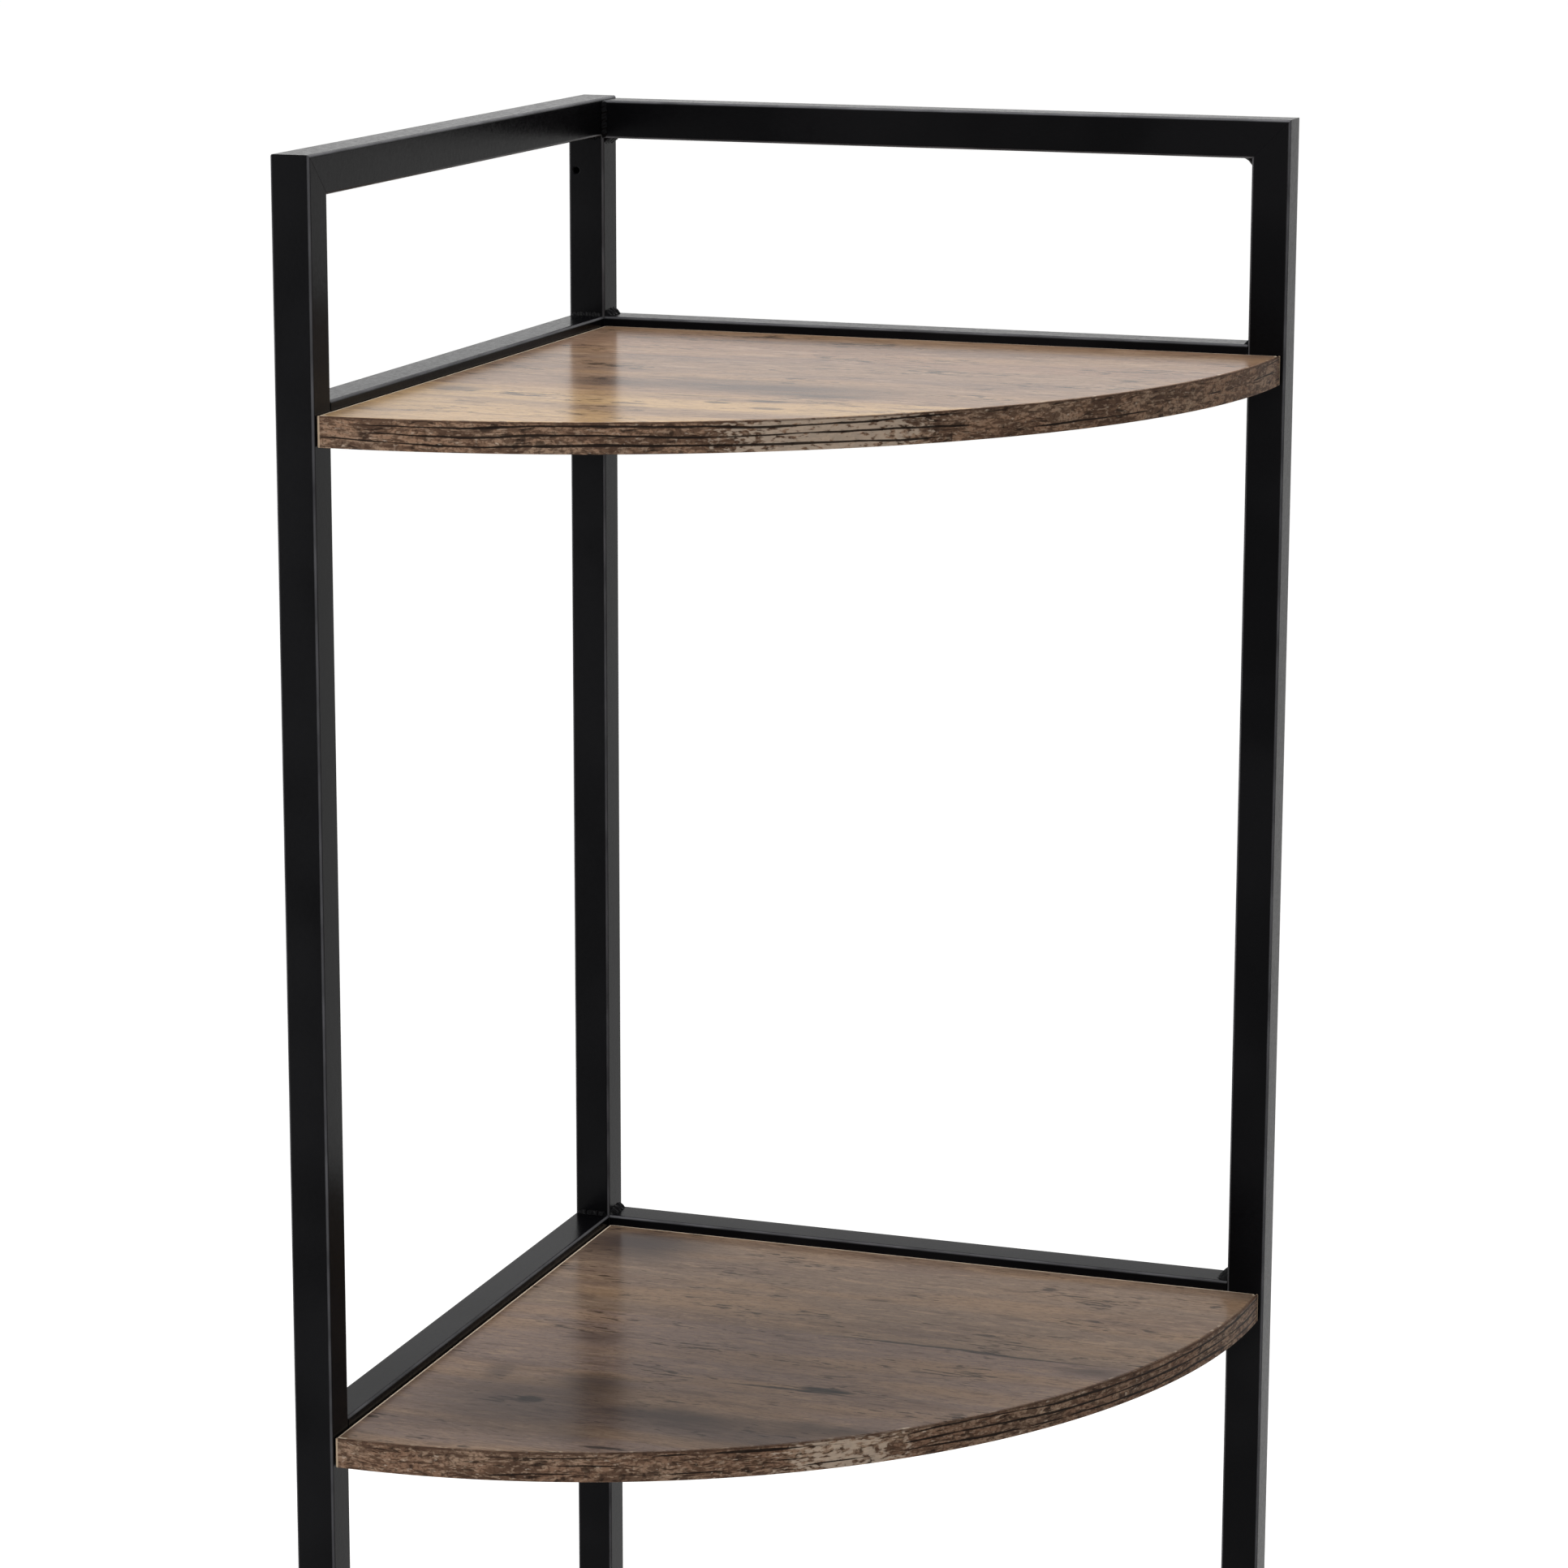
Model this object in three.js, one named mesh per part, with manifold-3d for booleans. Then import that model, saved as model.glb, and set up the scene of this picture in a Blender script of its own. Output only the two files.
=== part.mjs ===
// Corner shelf unit. A welded frame of square steel tube stands on three legs and has two wings
// at a right angle. Quarter-round boards lie between the wings on small tabs, screwed from below.
// Millimetres, +Z up. The origin is on the floor, under the middle of the unit.
import * as THREE from "three";
import { mergeVertices } from "three/addons/utils/BufferGeometryUtils.js";
import Module from "manifold-3d";

const wasm = await Module();
wasm.setup();

// Frame
const wingLength = 315; // outside length of each wing, with the corner leg
const tubeSide = 16;
const tubeWall = 1;
const tubeEdgeRadius = 1.5;
const rightWingDrop = 1; // the right wing's top rail is this much lower than the left one's
const weldRadius = 3; // hollow of the weld bead in an inner corner
const weldRoot = 0.5; // how deep a bead bites into the tube wall
const ventRadius = 1.25;
const ventFromEdge = 3.5; // from the corner leg's outer side to the vent's centre
const ventBelowRail = 15; // from the top rail's underside to the vent's centre

// Shelves
const shelfCount = 4;
const shelfPitch = 402;
const lowestRailHeight = 65; // floor to the underside of the lowest rails
const galleryHeight = 93; // top of the highest shelf rails to the top of the frame
const boardThickness = 12;
const boardGap = 0.5; // between a board's straight edges and the rails
const boardSetback = 2; // the curved edge stays this far behind the legs' front faces
const bandThickness = 1;

// Support tabs
const tabThickness = 2;
const tabWidth = 22;
const tabUnderRail = 12; // how far a tab reaches under its rail
const tabUnderBoard = 18; // how far it reaches past the rail, under the board
const tabCornerRadius = 5;
const tabInset = 45; // from a rail's end to the middle of its nearest tab
const tabHoleClearance = 0.5;

// Screws
const screwRadius = 1.75;
const screwLength = 11; // below the head
const screwPointLength = 2.5;
const screwHeadRadius = 3.6;
const screwHeadHeight = 2.2;
const screwCrownRadius = 2.2; // flat middle of the head
const screwFromRail = 9; // from the rail's inner face to the screw's axis
const recessLength = 4;
const recessWidth = 0.9;
const recessDepth = 1.3;
const pilotClearance = 0.15;
const pilotExtraDepth = 0.5;

// Feet
const footHeight = 5; // the part that shows below the leg
const footChamfer = 1.5;
const plugLength = 18;
const plugClearance = 0.3;

// Fineness of the facets, and the overrun of every cut
const cornerSegments = 2;
const weldSegments = 2;
const arcSegments = 32;
const roundSegments = 12;
const cutOverrun = 1;

// Sizes that follow from these
const tubeHalf = tubeSide / 2;
const tubeBore = tubeSide - 2 * tubeWall;
const tubeFlat = tubeSide - 2 * tubeEdgeRadius; // flat part of a tube's side
const reach = wingLength - tubeSide; // inner corner to a leg's front face
const railLength = reach - tubeSide;
const boardRadius = reach - boardSetback;
const coreRadius = boardRadius - bandThickness;
const frameTop = lowestRailHeight + tubeSide + (shelfCount - 1) * shelfPitch + galleryHeight;
const quarterTurn = Math.PI / 2;

// Materials
const powderCoat = new THREE.MeshStandardMaterial({ color: 0x1d1d1f, roughness: 0.45, metalness: 0.1 });
const boardFace = new THREE.MeshStandardMaterial({ color: 0x7a6353, roughness: 0.42, metalness: 0 });
const bandFace = new THREE.MeshStandardMaterial({ color: 0x5d4a40, roughness: 0.5, metalness: 0 });
const blackZinc = new THREE.MeshStandardMaterial({ color: 0x2a2a2c, roughness: 0.35, metalness: 0.9 });
const footPlastic = new THREE.MeshStandardMaterial({ color: 0x161617, roughness: 0.6, metalness: 0 });

// Directions of the two wings, seen from their inner corner: away from it, and towards the wall
const up = new THREE.Vector3(0, 0, 1);
const leftWing = { side: "left", out: new THREE.Vector3(0, -1, 0), wall: new THREE.Vector3(-1, 0, 0) };
const rightWing = { side: "right", out: new THREE.Vector3(1, 0, 0), wall: new THREE.Vector3(0, 1, 0) };
const wings = [leftWing, rightWing];

// Turns a closed geometry into a solid that can be joined and cut.
function toSolid(geometry) {
  const bare = geometry.clone();
  bare.deleteAttribute("normal");
  bare.deleteAttribute("uv");
  const merged = mergeVertices(bare);
  return new wasm.Manifold(
    new wasm.Mesh({
      numProp: 3,
      vertProperties: merged.attributes.position.array,
      triVerts: new Uint32Array(merged.index.array),
    }),
  );
}

// Turns a solid back into a geometry with flat faces.
function toGeometry(solid) {
  const mesh = solid.getMesh();
  const indexed = new THREE.BufferGeometry();
  indexed.setAttribute("position", new THREE.BufferAttribute(new Float32Array(mesh.vertProperties), 3));
  indexed.setIndex(new THREE.BufferAttribute(new Uint32Array(mesh.triVerts), 1));
  const flat = indexed.toNonIndexed();
  flat.computeVertexNormals();
  return flat;
}

// Joins geometries into one body.
function join(first, ...others) {
  return toGeometry(others.reduce((whole, other) => whole.add(toSolid(other)), toSolid(first)));
}

// Cuts geometries out of a body.
function cut(body, ...cutters) {
  return toGeometry(cutters.reduce((whole, cutter) => whole.subtract(toSolid(cutter)), toSolid(body)));
}

// A point given along a wing from the inner corner, across it towards the wall, and by its height.
function onWing(wing, along, across, height) {
  return new THREE.Vector3()
    .addScaledVector(wing.out, along)
    .addScaledVector(wing.wall, across)
    .addScaledVector(up, height);
}

// A named mesh whose local +Z points along one direction and whose local +X points to one side.
function place(name, geometry, material, position, along = up, side = rightWing.out) {
  const mesh = new THREE.Mesh(geometry, material);
  const across = new THREE.Vector3().crossVectors(along, side);
  mesh.name = name;
  mesh.setRotationFromMatrix(new THREE.Matrix4().makeBasis(side, across, along));
  mesh.position.copy(position);
  return mesh;
}

// A plain extrusion of a shape from z = 0 to its depth.
function extrude(shape, depth) {
  return new THREE.ExtrudeGeometry(shape, { depth, bevelEnabled: false, curveSegments: cornerSegments });
}

// A cylinder along +Z that starts at the given height.
function cylinder(radius, length, start) {
  const geometry = new THREE.CylinderGeometry(radius, radius, length, roundSegments);
  return geometry.rotateX(quarterTurn).translate(0, 0, start + length / 2);
}

// A centred square outline with sharp corners.
function sharpSquare(side) {
  const half = side / 2;
  const corners = [[-half, -half], [half, -half], [half, half], [-half, half]];
  return new THREE.Shape(corners.map(([x, y]) => new THREE.Vector2(x, y)));
}

// A centred square outline with round corners.
function roundSquare(side, radius) {
  const inner = side / 2 - radius;
  const centres = [[inner, -inner], [inner, inner], [-inner, inner], [-inner, -inner]];
  const outline = new THREE.Shape();
  centres.forEach(([x, y], i) => {
    const start = (i - 1) * quarterTurn;
    outline.absarc(x, y, radius, start, start + quarterTurn, false);
  });
  return outline;
}

// Square tube along +Z. A mitred end keeps its full length at local +X, and is cut back from there
// at 45 degrees.
function squareTube(length, mitred) {
  const section = roundSquare(tubeSide, tubeEdgeRadius);
  section.holes.push(sharpSquare(tubeBore));
  const geometry = extrude(section, length);
  const points = geometry.attributes.position;
  for (let i = 0; i < points.count; i += 1) {
    const cutBack = tubeHalf - points.getX(i);
    const atStart = points.getZ(i) === 0;
    if (atStart && mitred.start) points.setZ(i, cutBack);
    if (!atStart && mitred.end) points.setZ(i, length - cutBack);
  }
  return geometry;
}

// The weld bead in the corner between a rail and a leg. Its section has a hollow face and a root in
// the tube wall. The bead lies on the rail's side at local +X (side 1) or -X (side -1), against the
// leg's face at the given place along the rail, and fills the corner in the given direction.
function weldBead(legFace, side, direction) {
  const section = new THREE.Shape();
  section.moveTo(-weldRoot, 0);
  section.lineTo(weldRadius, 0);
  section.absarc(weldRadius, weldRadius, weldRadius, -quarterTurn, -2 * quarterTurn, true);
  section.lineTo(-weldRoot, weldRadius);
  const points = section.extractPoints(weldSegments).shape;
  const placed = points.map((p) => new THREE.Vector2(side * (tubeHalf + p.x), legFace + direction * p.y));
  const bead = extrude(new THREE.Shape(placed), tubeFlat);
  return bead.translate(0, 0, -tubeFlat / 2).rotateX(quarterTurn);
}

// The frame

// A front leg, mitred at its top with the long side facing away from the corner.
function frontLeg(name, wing, top) {
  const tube = squareTube(top - footHeight, { start: false, end: true });
  const position = onWing(wing, reach - tubeHalf, tubeHalf, footHeight);
  return place(name, tube, powderCoat, position, up, wing.out);
}

// The corner leg is the left wing's back leg. It has the vent hole in the face that looks forwards.
function cornerLeg() {
  const length = frameTop - footHeight;
  const tube = squareTube(length, { start: false, end: true });
  const vent = cylinder(ventRadius, tubeWall + 2 * cutOverrun, -cutOverrun).rotateY(quarterTurn);
  vent.translate(-tubeHalf, tubeHalf - ventFromEdge, length - tubeSide - ventBelowRail);
  const position = onWing(leftWing, -tubeHalf, tubeHalf, footHeight);
  return place("corner_upright", cut(tube, vent), powderCoat, position, up, rightWing.wall);
}

// The left top rail runs over the corner leg and the front leg, and is mitred into both.
function leftTopRail() {
  const tube = squareTube(wingLength, { start: true, end: true });
  const rail = join(tube, weldBead(tubeSide, -1, 1), weldBead(wingLength - tubeSide, -1, -1));
  const position = onWing(leftWing, -tubeSide, tubeHalf, frameTop - tubeHalf);
  return place("left_top_rail", rail, powderCoat, position, leftWing.out, up);
}

// The right top rail butts against the side of the left wing and is mitred into the right leg.
function rightTopRail() {
  const tube = squareTube(reach, { start: false, end: true });
  const rail = join(tube, weldBead(0, -1, 1), weldBead(reach - tubeSide, -1, -1));
  const position = onWing(rightWing, 0, tubeHalf, frameTop - rightWingDrop - tubeHalf);
  return place("right_top_rail", rail, powderCoat, position, rightWing.out, up);
}

// A shelf rail between the corner leg and a front leg, with beads above and below at both ends.
function shelfRail(name, wing, underside) {
  const tube = squareTube(railLength, { start: false, end: false });
  const beads = [1, -1].flatMap((side) => [weldBead(0, side, 1), weldBead(railLength, side, -1)]);
  const position = onWing(wing, 0, tubeHalf, underside + tubeHalf);
  return place(name, join(tube, ...beads), powderCoat, position, wing.out, up);
}

// Boards and their edge bands

// Points on the quarter circle about the inner corner, from the right wing round to the left one
function quarterArc(radius) {
  const margin = Math.asin(boardGap / radius);
  const span = quarterTurn - 2 * margin;
  return Array.from({ length: arcSegments + 1 }, (_, i) => {
    const angle = -margin - (span * i) / arcSegments;
    return new THREE.Vector2(radius * Math.cos(angle), radius * Math.sin(angle));
  });
}

// Where the tabs of one rail sit, as distances along the wing
const tabPlaces = { back: tabInset, front: railLength - tabInset };

// A board without its edge band, drilled from below for its screws
function board(name, underside) {
  const corner = new THREE.Vector2(boardGap, -boardGap);
  const plate = extrude(new THREE.Shape([corner, ...quarterArc(coreRadius)]), boardThickness);
  const depth = screwLength - tabThickness + pilotExtraDepth;
  const pilots = wings.flatMap((wing) =>
    Object.values(tabPlaces).map((along) => {
      const axis = onWing(wing, along, -screwFromRail, 0);
      return cylinder(screwRadius + pilotClearance, depth + cutOverrun, -cutOverrun).translate(axis.x, axis.y, 0);
    }),
  );
  return place(name, cut(plate, ...pilots), boardFace, new THREE.Vector3(0, 0, underside));
}

// The strip glued round a board's curved edge
function edgeBand(name, underside) {
  const outline = new THREE.Shape([...quarterArc(coreRadius), ...quarterArc(boardRadius).reverse()]);
  return place(name, extrude(outline, boardThickness), bandFace, new THREE.Vector3(0, 0, underside));
}

// Tabs and screws

// A flat tab that reaches under the board at +X, drilled for its screw
function supportTab() {
  const half = tabWidth / 2;
  const roundX = tabUnderBoard - tabCornerRadius;
  const roundY = half - tabCornerRadius;
  const outline = new THREE.Shape();
  outline.moveTo(-tabUnderRail, -half);
  outline.absarc(roundX, -roundY, tabCornerRadius, -quarterTurn, 0, false);
  outline.absarc(roundX, roundY, tabCornerRadius, 0, quarterTurn, false);
  outline.lineTo(-tabUnderRail, half);
  const hole = cylinder(screwRadius + tabHoleClearance, tabThickness + 2 * cutOverrun, -cutOverrun);
  return cut(extrude(outline, tabThickness), hole.translate(screwFromRail, 0, 0));
}

// A pan-head screw along +Z with its head below z = 0 and a cross recess in the head
function panHeadScrew() {
  const profile = [
    [0, -screwHeadHeight],
    [screwCrownRadius, -screwHeadHeight],
    [screwHeadRadius, -screwHeadHeight / 2],
    [screwHeadRadius, 0],
    [screwRadius, 0],
    [screwRadius, screwLength - screwPointLength],
    [0, screwLength],
  ];
  const turned = new THREE.LatheGeometry(profile.map(([r, z]) => new THREE.Vector2(r, z)), roundSegments);
  const slotHeight = recessDepth + cutOverrun;
  const slot = new THREE.BoxGeometry(recessLength, recessWidth, slotHeight);
  slot.translate(0, 0, recessDepth - screwHeadHeight - slotHeight / 2);
  return cut(turned.rotateX(quarterTurn), slot, slot.clone().rotateZ(quarterTurn));
}

// A push-in foot: a plug inside the leg, and below it a cap with a chamfered edge
function foot() {
  const sole = extrude(roundSquare(tubeSide, tubeEdgeRadius), footChamfer);
  const points = sole.attributes.position;
  const shrink = (tubeHalf - footChamfer) / tubeHalf;
  for (let i = 0; i < points.count; i += 1) {
    if (points.getZ(i) === 0) points.setXY(i, points.getX(i) * shrink, points.getY(i) * shrink);
  }
  const cap = extrude(roundSquare(tubeSide, tubeEdgeRadius), footHeight - footChamfer);
  const plug = extrude(sharpSquare(tubeBore - 2 * plugClearance), plugLength + footHeight - footChamfer);
  return join(sole, cap.translate(0, 0, footChamfer), plug.translate(0, 0, footChamfer));
}

// One shelf: its board and band, and on each wing a rail with two tabs and their screws
function shelf(number, tab, screw) {
  const underside = lowestRailHeight + (shelfCount - number) * shelfPitch;
  const tabBottom = underside - tabThickness;
  const group = new THREE.Group();
  group.add(board(`shelf_board_${number}`, underside));
  group.add(edgeBand(`edge_band_${number}`, underside));
  for (const wing of wings) {
    const inwards = wing.wall.clone().negate();
    group.add(shelfRail(`${wing.side}_shelf_rail_${number}`, wing, underside));
    for (const [end, along] of Object.entries(tabPlaces)) {
      const name = (piece) => `${wing.side}_${end}_${piece}_${number}`;
      const root = onWing(wing, along, 0, tabBottom);
      const axis = onWing(wing, along, -screwFromRail, tabBottom);
      group.add(place(name("tab"), tab, powderCoat, root, up, inwards));
      group.add(place(name("screw"), screw, blackZinc, axis));
    }
  }
  return group;
}

// The whole unit, built about the inner corner of the two wings and then centred
function cornerShelfUnit() {
  const unit = new THREE.Group();
  unit.position.set(tubeHalf - reach / 2, reach / 2 - tubeHalf, 0);
  unit.add(frontLeg("left_front_upright", leftWing, frameTop), leftTopRail());
  unit.add(frontLeg("right_front_upright", rightWing, frameTop - rightWingDrop), rightTopRail());
  unit.add(cornerLeg());

  const footShape = foot();
  unit.add(place("left_foot", footShape, footPlastic, onWing(leftWing, reach - tubeHalf, tubeHalf, 0)));
  unit.add(place("corner_foot", footShape, footPlastic, onWing(leftWing, -tubeHalf, tubeHalf, 0)));
  unit.add(place("right_foot", footShape, footPlastic, onWing(rightWing, reach - tubeHalf, tubeHalf, 0)));

  const tab = supportTab();
  const screw = panHeadScrew();
  for (let number = 1; number <= shelfCount; number += 1) unit.add(shelf(number, tab, screw));
  return unit;
}

export default cornerShelfUnit();
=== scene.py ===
"""A corner shelf unit: quarter-round boards in a welded frame of black square steel tube.

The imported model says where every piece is. This script gives the pieces their fine surfaces and
their finishes, and sets them in a plain studio. Lengths are in metres and +Z is up. The two wings
meet at the corner leg: the left wing runs from it towards -Y and the right wing towards +X.
"""

import logging
import math
from abc import ABC, abstractmethod
from dataclasses import dataclass, field
from enum import Enum

import bpy
import numpy as np
from mathutils import Matrix, Vector


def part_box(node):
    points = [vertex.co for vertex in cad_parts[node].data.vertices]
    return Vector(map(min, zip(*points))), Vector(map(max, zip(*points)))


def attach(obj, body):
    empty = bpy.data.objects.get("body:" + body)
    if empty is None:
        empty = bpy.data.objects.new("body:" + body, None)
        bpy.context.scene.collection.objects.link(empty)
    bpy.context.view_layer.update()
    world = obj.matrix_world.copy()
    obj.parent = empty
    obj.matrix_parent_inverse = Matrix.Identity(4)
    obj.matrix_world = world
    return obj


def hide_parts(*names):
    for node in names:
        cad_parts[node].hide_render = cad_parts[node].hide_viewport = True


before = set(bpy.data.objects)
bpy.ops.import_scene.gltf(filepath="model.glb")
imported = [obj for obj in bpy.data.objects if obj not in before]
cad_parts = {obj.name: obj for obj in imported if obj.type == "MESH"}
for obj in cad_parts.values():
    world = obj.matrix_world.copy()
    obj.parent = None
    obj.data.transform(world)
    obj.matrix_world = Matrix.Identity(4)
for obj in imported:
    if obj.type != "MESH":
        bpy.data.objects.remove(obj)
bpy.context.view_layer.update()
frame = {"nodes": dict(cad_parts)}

log = logging.getLogger("corner_shelf")

MM = 0.001
QUARTER_TURN = math.pi / 2
BODY = "root"

# Sockets of the Mix node when it mixes colours
MIX_FACTOR = 0
MIX_FIRST = 6
MIX_SECOND = 7
MIX_RESULT = 2

Array = np.ndarray
Material = bpy.types.Material
Mesh = bpy.types.Mesh
Tree = bpy.types.NodeTree
Node = bpy.types.Node
Socket = bpy.types.NodeSocket
Triple = tuple[float, float, float]  # a place, or a size along X, Y and Z


class Axis(Enum):
    """The axes of the row frame, by their place in a vector."""

    X = 0
    Y = 1
    Z = 2


class Ends(Enum):
    """How the first and last row of a grid of points are closed."""

    RING = "the last row joins the first one"
    FLAT = "each end row is filled by a fan of triangles to its middle"


class Slot(Enum):
    """Names of the record's material slots for the new pieces, which nothing here records."""

    FRAME = "frame"
    BOARD = "board"
    EDGE_BAND = "edge_band"


# Meshes


@dataclass
class Skin:
    """Closed surfaces, gathered until they become one mesh."""

    points: list[Array] = field(default_factory=list)
    faces: list[list[int]] = field(default_factory=list)
    traits: dict[str, list[Array]] = field(default_factory=dict)

    def add(self, rows: Array, ends: Ends, **traits: Array) -> None:
        """Adds a grid of points whose columns close on themselves.

        Each quad joins a point to the next one in its row and to the same two in the next row. If
        the closed surface turns out to enclose a negative volume, its faces are turned round.

        Args:
            rows: Points in metres, as rows x columns x 3.
            ends: How the first and last row are closed.
            traits: Values for each point, as rows x columns, or rows x columns x 3 for a vector.
        """
        count = rows.shape[0] * rows.shape[1]
        index = np.arange(count).reshape(rows.shape[:2])
        beside = np.roll(index, -1, axis=1)
        points = rows.reshape(-1, 3)
        if ends is Ends.RING:
            index, beside = (np.vstack([part, part[:1]]) for part in (index, beside))
        corners = (index[:-1], beside[:-1], beside[1:], index[1:])
        quads = np.stack(corners, axis=-1).reshape(-1, 4)
        halves = [quads[:, [0, 1, 2]], quads[:, [0, 2, 3]]]
        fans = np.empty((0, 3), int)
        if ends is Ends.FLAT:
            middles = rows[[0, -1]].mean(axis=1)
            points = np.vstack([points, middles])
            first = np.stack([beside[0], index[0], np.full_like(index[0], count)], axis=-1)
            last = np.stack([index[-1], beside[-1], np.full_like(index[0], count + 1)], axis=-1)
            fans = np.vstack([first, last])
            halves.append(fans)
            traits = {
                name: np.concatenate([value.reshape(count, *value.shape[2:]), value[[0, -1], 0]])
                for name, value in traits.items()
            }
        a, b, c = (points[np.vstack(halves)][:, corner] for corner in range(3))
        if np.einsum("ij,ij->", a - points[0], np.cross(b - points[0], c - points[0])) < 0:
            quads, fans = quads[:, ::-1], fans[:, ::-1]
        start = sum(len(part) for part in self.points)
        self.points.append(points)
        self.faces += (quads + start).tolist() + (fans + start).tolist()
        for name, value in traits.items():
            self.traits.setdefault(name, []).append(value.reshape(len(points), -1))

    def mesh(self, name: str) -> Mesh:
        """Makes a mesh of everything that was added.

        Args:
            name: The name of the mesh.

        Returns:
            The mesh, with its traits as point attributes.
        """
        made = bpy.data.meshes.new(name)
        made.from_pydata(np.vstack(self.points).tolist(), [], self.faces)
        for trait, parts in self.traits.items():
            values = np.vstack(parts).astype(np.float32)
            kind, key = ("FLOAT", "value") if values.shape[1] == 1 else ("FLOAT_VECTOR", "vector")
            made.attributes.new(trait, kind, "POINT").data.foreach_set(key, values.ravel())
        shade_by_area(made)
        return made


def shade_by_area(mesh: Mesh) -> None:
    """Gives each point the mean normal of its faces, weighted by their areas.

    Large flat faces then stay flat right up to the narrow roundings beside them.

    Args:
        mesh: The mesh to shade.
    """
    faces = len(mesh.polygons)
    normals, areas = np.empty(faces * 3), np.empty(faces)
    totals, corners = np.empty(faces, int), np.empty(len(mesh.loops), int)
    mesh.polygons.foreach_get("normal", normals)
    mesh.polygons.foreach_get("area", areas)
    mesh.polygons.foreach_get("loop_total", totals)
    mesh.loops.foreach_get("vertex_index", corners)
    weighted = np.repeat(normals.reshape(-1, 3) * areas[:, None], totals, axis=0)
    sums = np.zeros((len(mesh.vertices), 3))
    np.add.at(sums, corners, weighted)
    sums /= np.maximum(np.linalg.norm(sums, axis=1, keepdims=True), 1e-20)
    mesh.polygons.foreach_set("use_smooth", np.ones(faces, bool))
    mesh.normals_split_custom_set_from_vertices(sums.tolist())


def put(name: str, data: bpy.types.ID) -> bpy.types.Object:
    """Adds an object to the scene.

    Args:
        name: The object's name.
        data: Its mesh, lamp or camera.

    Returns:
        The object, at the origin.
    """
    thing = bpy.data.objects.new(name, data)
    bpy.context.scene.collection.objects.link(thing)
    return thing


def carve(mesh: Mesh, *cutters: Mesh) -> Mesh:
    """Cuts closed meshes out of a closed mesh.

    Args:
        mesh: The body that is cut.
        cutters: What is taken away from it.

    Returns:
        A new mesh. The body and the cutters are removed.
    """
    body = put("body", mesh)
    tools = [put("cutter", cutter) for cutter in cutters]
    for tool in tools:
        cut = body.modifiers.new("cut", "BOOLEAN")
        cut.operation = "DIFFERENCE"
        cut.solver = "EXACT"
        cut.object = tool
    bpy.context.view_layer.update()
    finished = body.evaluated_get(bpy.context.evaluated_depsgraph_get())
    made = bpy.data.meshes.new_from_object(finished)
    for thing in (body, *tools):
        data = thing.data
        bpy.data.objects.remove(thing)
        bpy.data.meshes.remove(data)
    shade_by_area(made)
    return made


def rounding(radius: float, steps: int) -> tuple[Array, Array]:
    """The quarter circle that takes an edge from an end face round to a side.

    At an angle t from the end face, the edge is drawn in by radius x (1 - sin t) and lies back
    from the end by radius x (1 - cos t).

    Args:
        radius: The radius of the rounded edge.
        steps: How many straight steps stand for the quarter circle.

    Returns:
        How far each step is drawn in, and how far it lies behind the end face.
    """
    angle = np.linspace(0, QUARTER_TURN, steps + 1)
    return radius * (1 - np.sin(angle)), radius * (1 - np.cos(angle))


@dataclass(frozen=True)
class RoundRectangle:
    """The outline of a rectangle with quarter-circle corners, about its centre."""

    half_width: float
    half_height: float
    radius: float
    steps: int = 6

    def rings(self, inset: Array) -> Array:
        """The outline drawn in by each of several distances.

        A point is the centre of its corner's circle plus (radius - inset) times the cosine and
        sine of an angle, which runs through a quarter turn at each of the four corners.

        Args:
            inset: The distances by which the outline is drawn in.

        Returns:
            Points as insets x points round the outline x 2.
        """
        corner = np.arange(4)[:, None]
        angle = (corner + np.linspace(0, 1, self.steps + 1)) * QUARTER_TURN
        middle = (corner + 0.5) * QUARTER_TURN + np.zeros_like(angle)
        reach = np.array([self.half_width, self.half_height]) - self.radius
        centres = np.stack([np.sign(np.cos(middle)), np.sign(np.sin(middle))], axis=-1) * reach
        directions = np.stack([np.cos(angle), np.sin(angle)], axis=-1)
        drawn = (self.radius - inset)[:, None, None, None] * directions + centres
        return drawn.reshape(len(inset), -1, 2)


def revolved(radii: Array, heights: Array, steps: int) -> Array:
    """A profile turned about the Z axis: (r cos t, r sin t, z) for t round the full circle.

    Args:
        radii: The profile's distances from the axis.
        heights: The profile's heights.
        steps: How many points go round the axis.

    Returns:
        Rows of points, one for each point of the profile.
    """
    angle = np.arange(steps) * 2 * math.pi / steps
    x, y = np.outer(radii, np.cos(angle)), np.outer(radii, np.sin(angle))
    return np.stack([x, y, np.broadcast_to(heights[:, None], x.shape)], axis=-1)


def add_piece(name: str, mesh: Mesh, material: Material, slot: Slot, *nodes: str) -> None:
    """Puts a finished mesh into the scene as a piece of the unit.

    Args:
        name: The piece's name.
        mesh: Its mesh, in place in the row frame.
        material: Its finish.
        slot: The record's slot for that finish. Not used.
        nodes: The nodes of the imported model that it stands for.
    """
    mesh.materials.clear()
    mesh.materials.append(material)
    piece = put(name, mesh)
    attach(piece, BODY)
    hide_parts(*nodes)
    log.info("%s: %d points, %s", name, len(mesh.vertices), material.name)


# Finishes. The coat, boards and strips started from an IOR of 1.5, which is typical. Mirrored rays
# see the white background here, and it turned them grey, so their IOR is lower.


def linear(hex_colour: str) -> tuple[float, float, float, float]:
    """Turns an sRGB hex value into the linear colour that a shader takes.

    Args:
        hex_colour: Six hex digits with a leading #.

    Returns:
        Linear red, green and blue, and an alpha of 1.
    """
    share = np.array([int(hex_colour[i : i + 2], 16) for i in (1, 3, 5)]) / 255
    value = np.where(share <= 0.04045, share / 12.92, ((share + 0.055) / 1.055) ** 2.4)
    return (*value.tolist(), 1.0)


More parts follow.
